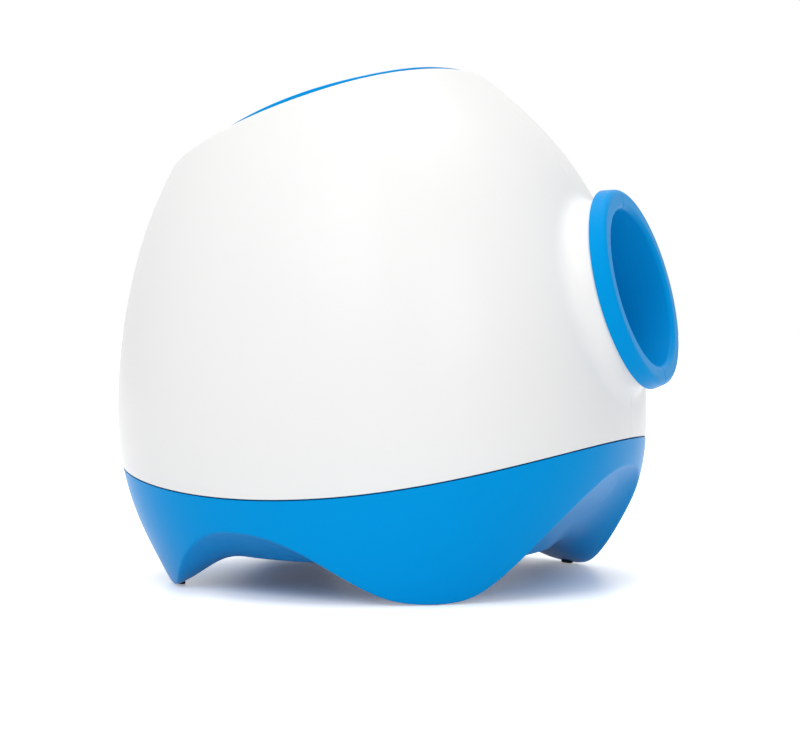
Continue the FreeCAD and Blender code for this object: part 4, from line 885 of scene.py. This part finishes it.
@dataclass
class BaseSizes:
    """Sizes of the blue base with its wave-cut underside."""

    sole_dip: float = 2.5
    sole: float = 0.05
    tip_round: float = 6.0
    sharpness: float = 1.14
    front_arch: tuple[float, float] = (70.0, 58.5)
    side_arch: tuple[float, float, float, float] = (37.6, 107.8, 49.5, 34.0)
    back_arch: tuple[float, float] = (47.0, 38.0)
    soffit_bend: float = 1.35
    belly: float = 18.0
    belly_inset: float = 36.0
    floor: float = 4.2
    door_x: tuple[float, float] = (-80.3, 30.3)
    door_y: float = 35.3
    door_depth: float = 2.4
    door_ledge: float = 6.3
    edge_round: float = 2.2
    bevel: float = 0.3
    bevel_angle: float = 50.0
    lip_gap: float = 0.1
    lip_wall: float = 1.2
    lip_reach: float = 4.0
    column_step: float = 1.25
    wall_rows: int = 46
    wall_easing: float = 1.25
    soffit_rows: int = 30
    soffit_easing: float = 1.15
    floor_rows: int = 12
    inner_rows: int = 10


@dataclass
class BlueBase(Assembly):
    """The base moulding: four legs, a wave-cut edge and a flat belly with the battery door's seat."""

    sizes: BaseSizes = field(default_factory=BaseSizes)

    def wave(self, angles: np.ndarray) -> np.ndarray:
        """Return the height of the base's lower edge, rounded to the floor at the legs."""
        sizes = self.sizes
        degrees = np.degrees(np.abs((angles + math.pi) % (2 * math.pi) - math.pi))
        side_height, middle, front, back = sizes.side_arch
        aside = np.where(degrees > middle, (degrees - middle) / back, (middle - degrees) / front)
        arches = (
            (sizes.front_arch[0], degrees / sizes.front_arch[1]),
            (side_height, aside),
            (sizes.back_arch[0], (180 - degrees) / sizes.back_arch[1]),
        )
        height = np.full(degrees.shape, -sizes.sole_dip)
        for crown, share in arches:
            rise = 0.5 * (1 + np.cos(math.pi * np.minimum(share, 1.0) ** sizes.sharpness))
            height = height + (crown + sizes.sole_dip) * rise
        lowest = 0.5 * (math.hypot(sizes.sole_dip, sizes.tip_round) - sizes.sole_dip)
        return sizes.sole + 0.5 * (height + np.hypot(height, sizes.tip_round)) - lowest

    def _side(self, angles: np.ndarray, height: np.ndarray, inset: float = 0.0) -> np.ndarray:
        """Return distance and height of the wall at a height."""
        return np.stack([self.form.radius(angles, height, inset), height], -1)

    def _soffit(self, angles: np.ndarray, rise: float = 0.0) -> tuple[np.ndarray, np.ndarray]:
        """Return distance and height at the wave edge and at the belly's edge, a rise above them."""
        belly = np.full(angles.shape, self.sizes.belly)
        edge, inner = self._side(angles, self.wave(angles)), self._side(angles, belly, self.sizes.belly_inset)
        return edge + (0.0, rise), inner + (0.0, rise)

    def _outer(self, angles: np.ndarray) -> np.ndarray:
        """Return distance and height along the outside, from the seam to the flat belly.

        Args:
            angles: The columns' angles.

        Returns:
            Distance and height on the last axis, by row and column.
        """
        sizes = self.sizes
        top = self.form.seam_height(angles, self.form.seam_gap)
        outer, inner = self._soffit(angles)
        profile = []
        for share in np.linspace(0, 1, sizes.wall_rows + 1):
            eased = 1 - (1 - share) ** sizes.wall_easing
            profile.append(self._side(angles, top + eased * (outer[:, 1] - top)))
        for share in np.linspace(0, 1, sizes.soffit_rows + 1)[1:]:
            there = outer + share ** sizes.soffit_easing * (inner - outer)
            bent = share ** (sizes.soffit_easing * sizes.soffit_bend)
            there[:, 1] = np.maximum(outer[:, 1] + bent * (inner[:, 1] - outer[:, 1]), sizes.sole)
            profile.append(there)
        return np.array(profile)

    def _rounded(self, profile: np.ndarray, corner: int) -> np.ndarray:
        """Round the wave edge by spreading each point over its neighbours along the profile.

        Args:
            profile: Distance and height by row and column.
            corner: The row of the sharp edge.

        Returns:
            The profile, softened round the edge.
        """
        size = self.sizes.edge_round
        steps = np.linalg.norm(np.diff(profile, axis=0), axis=-1)
        length = np.vstack([np.zeros(profile.shape[1]), np.cumsum(steps, axis=0)])
        spread = np.linspace(-2.5, 2.5, 11)
        weights = np.exp(-(spread ** 2) / 2)
        result = profile.copy()
        for column in range(profile.shape[1]):
            run = length[:, column]
            for row in range(1, profile.shape[0] - 1):
                if abs(run[row] - run[corner]) > 3.5 * size:
                    continue
                places = run[row] + spread * size * 0.5
                near = np.stack([np.interp(places, run, profile[:, column, axis]) for axis in (0, 1)], -1)
                result[row, column] = (weights[:, None] * near).sum(0) / weights.sum()
        return result

    def _inner(self, angles: np.ndarray) -> np.ndarray:
        """Return distance and height along the inside, from the floor's edge back up to the seam."""
        form, sizes = self.form, self.sizes
        outer, inner = self._soffit(angles, sizes.floor)

        def within(share: np.ndarray) -> np.ndarray:
            """Return whether places on the floor are inside the wall."""
            there = outer + share[:, None] * (inner - outer)
            return there[:, 0] < form.radius(angles, there[:, 1], form.wall)

        share = halved(within, np.ones(angles.shape), np.zeros(angles.shape), 30)
        meet = outer + share[:, None] * (inner - outer)
        profile = [inner + share * (meet - inner) for share in np.linspace(0, 1, sizes.floor_rows + 1)]
        top = form.seam_height(angles, form.seam_gap)
        for share in np.linspace(0, 1, sizes.inner_rows + 1)[1:]:
            profile.append(self._side(angles, meet[:, 1] + share * (top - meet[:, 1]), form.wall))
        return np.array(profile)

    def _door_edge(self, angles: np.ndarray, inset: float) -> np.ndarray:
        """Return the distance to the door seat's rectangle, or to one smaller by an inset."""
        sizes = self.sizes
        across = np.where(np.cos(angles) > 0, sizes.door_x[1] - inset, -sizes.door_x[0] - inset)
        along = across / np.maximum(np.abs(np.cos(angles)), 1e-9)
        return np.minimum(along, (sizes.door_y - inset) / np.maximum(np.abs(np.sin(angles)), 1e-9))

    def _lip(self, sheet: Sheet, angles: np.ndarray) -> None:
        """Add the upright lip behind the seam, which the white shells slip over."""
        form, sizes = self.form, self.sizes
        seam = form.seam_height(angles, form.seam_gap)
        outer = form.wall + sizes.lip_gap
        inner = outer + sizes.lip_wall
        low, high = -sizes.lip_reach, sizes.lip_reach
        places = ((inner, low), (outer, low), (outer, high), (inner, high))
        rows = [form.point(angles, seam + rise, inset) for inset, rise in places]
        sheet.quads(sheet.add(rows), rows=True, columns=True)

    def build(self) -> None:
        """Make the base."""
        sizes = self.sizes
        corners = [
            math.degrees(math.atan2(sizes.door_y - inset, x - math.copysign(inset, x)))
            for inset in (0.0, sizes.door_ledge) for x in sizes.door_x
        ]
        degrees = np.union1d(np.arange(0, 180.01, sizes.column_step), corners)
        angles = np.radians(np.concatenate([degrees, -degrees[-2:0:-1]]))
        outer = self._rounded(self._outer(angles), sizes.wall_rows)
        profile = list(outer)
        belly = outer[-1]
        seat, hole = self._door_edge(angles, 0.0), self._door_edge(angles, sizes.door_ledge)
        for share in (0.33, 0.66):
            profile.append(np.stack([belly[:, 0] + share * (seat - belly[:, 0]), belly[:, 1]], -1))
        ledge, floor = sizes.belly + sizes.door_depth, sizes.belly + sizes.floor
        for radius, height in ((seat, sizes.belly), (seat, ledge), (hole, ledge), (hole, floor)):
            profile.append(np.stack([radius, np.full(angles.shape, height)], -1))
        profile.extend(self._inner(angles))
        grid = np.array(profile)
        sheet = Sheet()
        numbers = sheet.add(upright(grid[..., 0], angles, grid[..., 1]))
        sheet.quads(numbers, rows=True, columns=True, flip=True)
        self._lip(sheet, angles)
        piece = sheet.object("blue_base", self.palette.of(Finish.BLUE_GLOSS))
        self.soften(piece, sizes.bevel, sizes.bevel_angle)
        self.join(piece, "housing", "blue_gloss", "base_shell")


@dataclass
class PadSizes:
    """Sizes of the rubber pads under the legs."""

    angles: tuple[float, ...] = (58.3, 142.0, -142.0, -58.3)
    inset: float = 4.6
    length: float = 9.0
    width: float = 3.6
    height: float = 1.6
    edge: float = 0.4
    steps: int = 9


@dataclass
class FootPads(Assembly):
    """Four round-ended rubber pads let into the legs' soles."""

    sizes: PadSizes = field(default_factory=PadSizes)

    def build(self) -> None:
        """Make the pads as one piece."""
        sizes = self.sizes
        half = sizes.width / 2
        turns = np.linspace(0, math.pi, sizes.steps)
        end = np.stack([half * np.cos(turns), half * np.sin(turns) + (sizes.length - sizes.width) / 2], -1)
        outline = np.concatenate([end, -end])
        sheet = Sheet()
        for angle in map(math.radians, sizes.angles):
            reach = float(self.form.radius(np.array(angle), np.array(0.0))) - sizes.inset
            out = np.array((math.cos(angle), math.sin(angle), 0.0))
            along = np.array((-math.sin(angle), math.cos(angle), 0.0))
            rows = []
            for share, height in ((1 - sizes.edge / half, 0.0), (1.0, sizes.edge), (1.0, sizes.height)):
                flat = (reach + share * outline[:, :1]) * out + share * outline[:, 1:] * along
                rows.append(flat + np.array((0.0, 0.0, height)))
            numbers = sheet.add(rows)
            sheet.quads(numbers, columns=True)
            sheet.ends(numbers.T, flip=True)
        piece = sheet.object("rubber_pads", self.palette.of(Finish.PAD_RUBBER))
        self.join(piece, "housing", "pad_rubber", "foot_pads")


# Mouth ring and barrel


@dataclass
class MouthSizes:
    """Sizes of the mouth ring and barrel; the profile gives places along the barrel, radii and roundings."""

    half_gap: float = 0.12
    turns: int = 72
    flare: tuple[float, float] = (3.0, 1.6)
    flare_start: tuple[float, float] = (0.35, 0.1)
    flare_depth: float = 9.6
    flare_from: float = 52.0
    corner_steps: int = 8
    longest_round: float = 0.48
    bevel: float = 0.3
    profile: tuple[tuple[float, float, float], ...] = (
        (-92.0, 38.5, 0.0),
        (-34.0, 38.5, 120.0),
        (0.0, 45.4, 3.4),
        (0.0, 55.2, 3.0),
        (-9.6, 55.2, 0.5),
        (-9.6, 45.5, 0.0),
        (-34.0, 41.1, 0.0),
        (-92.0, 41.1, 0.0),
    )


@dataclass
class MouthRing(Assembly):
    """The blue mouth with its barrel, in two mouldings that meet on the middle plane."""

    sizes: MouthSizes = field(default_factory=MouthSizes)

    def _outline(self) -> np.ndarray:
        """Return the closed profile with its corners rounded."""
        sizes = self.sizes
        corners = np.array([place[:2] for place in sizes.profile])
        result = []
        for number, (_, _, rounding) in enumerate(sizes.profile):
            here = corners[number]
            if not rounding:
                result.append(here)
                continue
            sides = np.stack([corners[number - 1] - here, corners[(number + 1) % len(corners)] - here])
            before, after = unit(sides)
            half_inner = math.acos(np.clip(before @ after, -1, 1)) / 2
            longest = sizes.longest_round * np.linalg.norm(sides, axis=-1).min()
            reach = min(rounding / math.tan(half_inner), longest)
            start, end = here + before * reach, here + after * reach
            result.extend(rounded_corner(start, here, end, sizes.corner_steps))
        return np.array(result)

    def _flare(self, along: np.ndarray, radius: np.ndarray, turn: np.ndarray) -> np.ndarray:
        """Return how much the ring's outside grows towards its back, most at the top."""
        sizes = self.sizes
        outside = (radius > sizes.flare_from) & (along > -sizes.flare_depth - 1.0)
        front, most = (np.where(np.sin(turn) > 0, *pair) for pair in (sizes.flare_start, sizes.flare))
        back = np.clip(front - (1 - front) * along / sizes.flare_depth, 0.0, 1.0)
        return np.where(outside, back * most * np.sin(turn) ** 4, 0.0)

    def build(self) -> None:
        """Make both halves."""
        sizes = self.sizes
        outline = self._outline()
        turns = np.linspace(-math.pi / 2, math.pi / 2, sizes.turns + 1)
        along, turn = np.meshgrid(outline[:, 0], turns, indexing="ij")
        radius = np.broadcast_to(outline[:, 1:], turn.shape)
        points = LAUNCH.at(along, radius + self._flare(along, radius, turn), turn)
        points[:, [0, -1], 1] = sizes.half_gap
        left = Sheet()
        numbers = left.add(points)
        left.quads(numbers, rows=True)
        left.ends(numbers)
        for side, sheet in left.halves():
            piece = sheet.object(f"mouth_ring_{side}", self.palette.of(Finish.BLUE_GLOSS))
            self.soften(piece, sizes.bevel)
            self.join(piece, "housing", "blue_gloss", f"barrel_{side}")


# Funnel hopper


@dataclass
class HopperSizes:
    """Sizes of the funnel: its flange on the body's top edge, the bowl and the throat."""

    flange: tuple[float, float, float] = (-37.0, 75.5, 75.0)
    flange_width: float = 6.0
    flange_rise: SmoothCurve = SmoothCurve(
        (-112.5, -58.0, -30.0, -8.0, 6.0, 17.0, 26.0, 33.0, 38.5),
        (4.8, 4.6, 4.6, 4.3, 4.0, 3.8, 3.5, 2.9, 2.0),
    )
    flange_seat: float = 0.05
    flange_round: float = 0.7
    crest_round: float = 2.2
    crest_drop: float = 3.0
    wall: float = 2.6
    throat: tuple[float, float] = (-62.0, 36.5)
    throat_top: float = 207.0
    throat_rows: tuple[float, ...] = (198.0, 189.0, 181.0)
    bowl_top: float = 302.9
    first_top: float = 270.0
    rises: tuple[float, ...] = (0.0, 0.29, 0.58, 1.0)
    spreads: tuple[float, ...] = (0.0, 0.40, 0.80, 1.0)
    columns: int = 160
    bowl_rows: int = 40
    back_rows: int = 22
    bevel: float = 0.3


@dataclass
class Hopper(Assembly):
    """The blue funnel that holds the waiting balls."""

    sizes: HopperSizes = field(default_factory=HopperSizes)

    def _bowl(self, height: np.ndarray, angles: np.ndarray, grow: float = 0.0) -> np.ndarray:
        """Return the bowl's or throat's points at heights, one for each angle."""
        sizes = self.sizes
        rise = np.clip((height - sizes.throat_top) / (sizes.bowl_top - sizes.throat_top), 0, 1)
        spread = SmoothCurve(sizes.rises, sizes.spreads)(rise)
        throat_x, throat = sizes.throat
        middle, half_length, half_width = sizes.flange
        half_length, half_width = half_length - sizes.flange_width, half_width - sizes.flange_width
        front = throat_x + throat + spread * (middle + half_length - throat_x - throat) + grow
        back = throat_x - throat + spread * (middle - half_length - throat_x + throat) - grow
        width = throat + spread * (half_width - throat) + grow
        x = (front + back) / 2 + (front - back) / 2 * np.cos(angles)
        return np.stack([x, width * np.sin(angles), height], -1)

    def _top(self, angles: np.ndarray, rise: Callable[[np.ndarray], Any], grow: float = 0.0) -> np.ndarray:
        """Return the heights at which the bowl meets a curve that lies a rise above the body's rim."""
        height = np.full(angles.shape, self.sizes.first_top)
        for _ in range(60):
            x = self._bowl(height, angles, grow)[:, 0]
            height = self.form.rim.high(x) + rise(x)
        return height

    def build(self) -> None:
        """Make the funnel."""
        sizes, rim = self.sizes, self.form.rim
        angles = np.linspace(0, 2 * math.pi, sizes.columns + 1)[:-1]
        middle, half_length, half_width = sizes.flange
        edge = np.stack([middle + half_length * np.cos(angles), half_width * np.sin(angles)], -1)
        over = rim.over(edge, sizes.flange_rise(edge[:, 0]))
        inner_top = self._top(angles, sizes.flange_rise)
        outer_top = self._top(angles, lambda x: sizes.flange_seat, sizes.wall)
        crest = self._bowl(inner_top, angles)
        inward = unit(crest - over)
        falling = unit(self._bowl(inner_top - sizes.crest_drop, angles) - crest)
        down = np.array((0.0, 0.0, -1.0))
        end = crest + falling * sizes.crest_round
        rows = [rim.over(edge, sizes.flange_seat)]
        turned = over + down * sizes.flange_round, over, over + inward * sizes.flange_round
        rows.extend(rounded_corner(*turned, 5).swapaxes(0, 1))
        rows.append((over + crest) / 2)
        rows.extend(rounded_corner(crest - inward * sizes.crest_round, crest, end, 6).swapaxes(0, 1))
        for share in np.linspace(0, 1, sizes.bowl_rows + 1)[1:]:
            rows.append(self._bowl(end[:, 2] + share * (sizes.throat_top - end[:, 2]), angles))
        for heights, grow in ((sizes.throat_rows, 0.0), (sizes.throat_rows[::-1], sizes.wall)):
            rows.extend(self._bowl(np.full(angles.shape, height), angles, grow) for height in heights)
        for share in np.linspace(0, 1, sizes.back_rows):
            height = sizes.throat_top + share * (outer_top - sizes.throat_top)
            rows.append(self._bowl(height, angles, sizes.wall))
        sheet = Sheet()
        sheet.quads(sheet.add(rows), rows=True, columns=True)
        piece = sheet.object("funnel_hopper", self.palette.of(Finish.BLUE_GLOSS))
        self.soften(piece, sizes.bevel)
        self.join(piece, "housing", "blue_gloss", "hopper")


# Mechanism and controls


class Mechanism(Assembly):
    """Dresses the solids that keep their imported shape."""

    def build(self, frame: dict[str, Any]) -> None:
        """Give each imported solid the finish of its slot.

        Args:
            frame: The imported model, as loaded.
        """
        slots = {part["node"]: part["material_slot"] for part in frame["record"]["subparts"]}
        for name, node in sorted(frame["nodes"].items()):
            node.data.materials.clear()
            node.data.materials.append(self.palette.of(Finish[slots[name].upper()]))
            LOG.info("%s: dressed as %s", name, slots[name])


@dataclass
class IconSizes:
    """Sizes of the marks moulded on the two buttons."""

    face: float = -163.1
    sink: float = 0.05
    power_height: float = 150.0
    distance_height: float = 126.0
    radius: float = 3.6
    ring_ends: tuple[float, float] = (120.0, 420.0)
    bar: tuple[float, ...] = (1.2, 2.8, 4.6)
    bars: tuple[tuple[float, float], ...] = ((-2.4, 1.6), (0.0, 2.8), (2.4, 4.0))
    stroke: float = 0.9
    depth: float = 0.04


@dataclass
class ButtonIcons(Assembly):
    """A broken ring with a bar on the power button, and three growing bars on the distance button."""

    sizes: IconSizes = field(default_factory=IconSizes)

    def _stroke(self, sheet: Sheet, path: np.ndarray) -> None:
        """Add a flat raised stroke along a path across the button's face.

        Args:
            sheet: The mesh so far.
            path: Points of y and z.
        """
        sizes = self.sizes
        along = unit(np.gradient(path, axis=0))
        side = np.stack([-along[:, 1], along[:, 0]], -1) * sizes.stroke / 2
        back, front = sizes.face + sizes.sink, sizes.face - sizes.depth
        rows = []
        for offset, x in ((1, back), (1, front), (-1, front), (-1, back)):
            rows.append(np.concatenate([np.full((len(path), 1), x), path + offset * side], -1))
        numbers = sheet.add(rows)
        sheet.quads(numbers, rows=True)
        sheet.ends(numbers)

    def build(self) -> None:
        """Make both marks."""
        sizes = self.sizes
        turns = np.radians(np.linspace(*sizes.ring_ends, 36))
        ring = np.stack([np.cos(turns), np.sin(turns)], -1) * sizes.radius
        bars = [np.array(((y, -reach), (y, 0.0), (y, reach))) for y, reach in sizes.bars]
        marks = {
            "power": (sizes.power_height, [ring, np.array([(0.0, height) for height in sizes.bar])]),
            "distance": (sizes.distance_height, bars),
        }
        for name, (height, paths) in marks.items():
            sheet = Sheet()
            for path in paths:
                self._stroke(sheet, path + np.array((0.0, height)))
            piece = sheet.object(f"{name}_icon", self.palette.of(Finish.ICON_INK))
            self.join(piece, f"{name}_button", "component_black")


# Studio


@dataclass
class Lamp:
    """One soft rectangular lamp, in metres and watts."""

    name: str
    place: tuple[float, float, float]
    aim: tuple[float, float, float]
    size: float
    power: float

    def build(self) -> None:
        """Add the lamp to the scene."""
        data = bpy.data.lights.new(self.name, "AREA")
        data.shape = "RECTANGLE"
        data.size = data.size_y = self.size
        data.energy = self.power
        place(data, Vector(self.place), Vector(self.aim) - Vector(self.place))


@dataclass
class Studio:
    """A white floor and surroundings, soft lamps and the camera."""

    target: tuple[float, float, float] = (-0.002, 0.0, 0.152)
    distance: float = 1.4978
    azimuth: float = 22.852
    elevation: float = 0.855
    lens: float = 116.08
    sensor: float = 36.0
    shift: tuple[float, float] = (0.00904, -0.06151)
    clip: tuple[float, float] = (0.05, 50.0)
    world_level: float = 0.48
    floor_half: float = 6.0
    floor_shades: tuple[Colour, Colour] = ((0.89, 0.89, 0.90), (0.91, 0.91, 0.92))
    # Floor glow near and far from the launcher, and the distances it rises between: the low glow near the
    # launcher paints shadow on the floor under it.
    floor_glow: tuple[float, float] = (0.06, 0.75)
    glow_reach: tuple[float, float] = (0.08, 0.20)
    lamps: tuple[Lamp, ...] = (
        Lamp("key", (-0.5, -2.2, 1.9), (0.0, 0.0, 0.15), 1.6, 22.0),
        Lamp("fill", (1.9, -1.9, 1.2), (0.0, 0.0, 0.12), 1.4, 14.0),
        Lamp("top", (0.0, 0.1, 2.2), (0.0, 0.0, 0.2), 1.8, 22.0),
    )

    def _camera(self) -> None:
        """Place the camera."""
        azimuth, elevation = math.radians(self.azimuth), math.radians(self.elevation)
        level = math.cos(elevation)
        back = Vector((math.sin(azimuth) * level, -math.cos(azimuth) * level, math.sin(elevation)))
        data = bpy.data.cameras.new("camera")
        data.sensor_width, data.lens = self.sensor, self.lens
        data.shift_x, data.shift_y = self.shift
        data.clip_start, data.clip_end = self.clip
        bpy.context.scene.camera = place(data, Vector(self.target) + back * self.distance, -back)

    def _floor(self) -> None:
        """Add the white floor, which shows pale with the launcher's shadow on it: a lamp-cast shadow,
        deepened by a painted shadow where the floor's glow drops near the launcher.
        """
        graph = Graph(bpy.data.materials.new("studio_floor"))
        surface = graph.node("ShaderNodeBsdfPrincipled", {
            "Base Color": graph.blend(graph.noise(6.0), *self.floor_shades),
            "Roughness": 0.3 + graph.noise(30.0) * 0.05,
            "Specular IOR Level": 0.2,
        })
        # The glow drops towards the launcher's middle, a painted shadow on the floor under it.
        away = graph.node("ShaderNodeVectorMath", {0: graph.place()}, operation="LENGTH").outputs["Value"]
        span = dict(enumerate((away, *self.glow_reach, *self.floor_glow)))
        level = graph.node("ShaderNodeMapRange", span, interpolation_type="SMOOTHSTEP")
        strength = graph.shown() * Signal(graph, level.outputs[0])
        painted_shadow_glow = graph.node("ShaderNodeEmission", {"Color": graph.blend(strength, BLACK, WHITE)})
        both = graph.node("ShaderNodeAddShader", {0: surface.outputs[0], 1: painted_shadow_glow.outputs[0]})
        mesh = bpy.data.meshes.new("floor")
        signs = ((-1, -1), (1, -1), (1, 1), (-1, 1))
        points = [(x * self.floor_half, y * self.floor_half, 0.0) for x, y in signs]
        mesh.from_pydata(points, [], [(0, 1, 2, 3)])
        mesh.materials.append(graph.finish(both))
        floor = bpy.data.objects.new("floor", mesh)
        bpy.context.scene.collection.objects.link(floor)
        floor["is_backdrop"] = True

    def _world(self) -> None:
        """Surround the launcher with soft white that shows as plain white."""
        graph = Graph(bpy.data.worlds.new("surroundings"))
        lit, shown = (
            graph.node("ShaderNodeBackground", {"Color": (*WHITE, 1.0), "Strength": level}).outputs[0]
            for level in (self.world_level, 1.0)
        )
        mix = graph.node("ShaderNodeMixShader", {0: graph.shown(), 1: lit, 2: shown})
        bpy.context.scene.world = graph.finish(mix, "World")

    def build(self) -> None:
        """Set up the floor, surroundings, lamps and camera."""
        bpy.context.scene.view_settings.view_transform = "Standard"
        self._floor()
        self._world()
        for lamp in self.lamps:
            lamp.build()
        self._camera()


def place(data: bpy.types.ID, at: Vector, towards: Vector) -> bpy.types.Object:
    """Add a lamp or the camera to the scene, looking a given way, and return its object."""
    made = bpy.data.objects.new(data.name, data)
    made.location = at
    made.rotation_mode = "QUATERNION"
    made.rotation_quaternion = towards.to_track_quat("-Z", "Y")
    bpy.context.scene.collection.objects.link(made)
    return made


def corners(box: tuple[Vector, Vector]) -> list[list[float]]:
    """Return a box's two corners as plain lists."""
    return [list(corner) for corner in box]


def main() -> None:
    """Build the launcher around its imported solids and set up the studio."""
    logging.basicConfig(level=logging.INFO, format="%(message)s")
    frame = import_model()
    solids = corners(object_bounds())
    palette, form = Palette(), BodyForm()
    Mechanism(palette, form).build(frame)
    for assembly in (WhiteShells, BlueBase, FootPads, MouthRing, Hopper, ButtonIcons):
        assembly(palette, form).build()
    Studio().build()
    {"cad": solids, "visual": corners(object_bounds())}


if __name__ == "__main__":
    main()
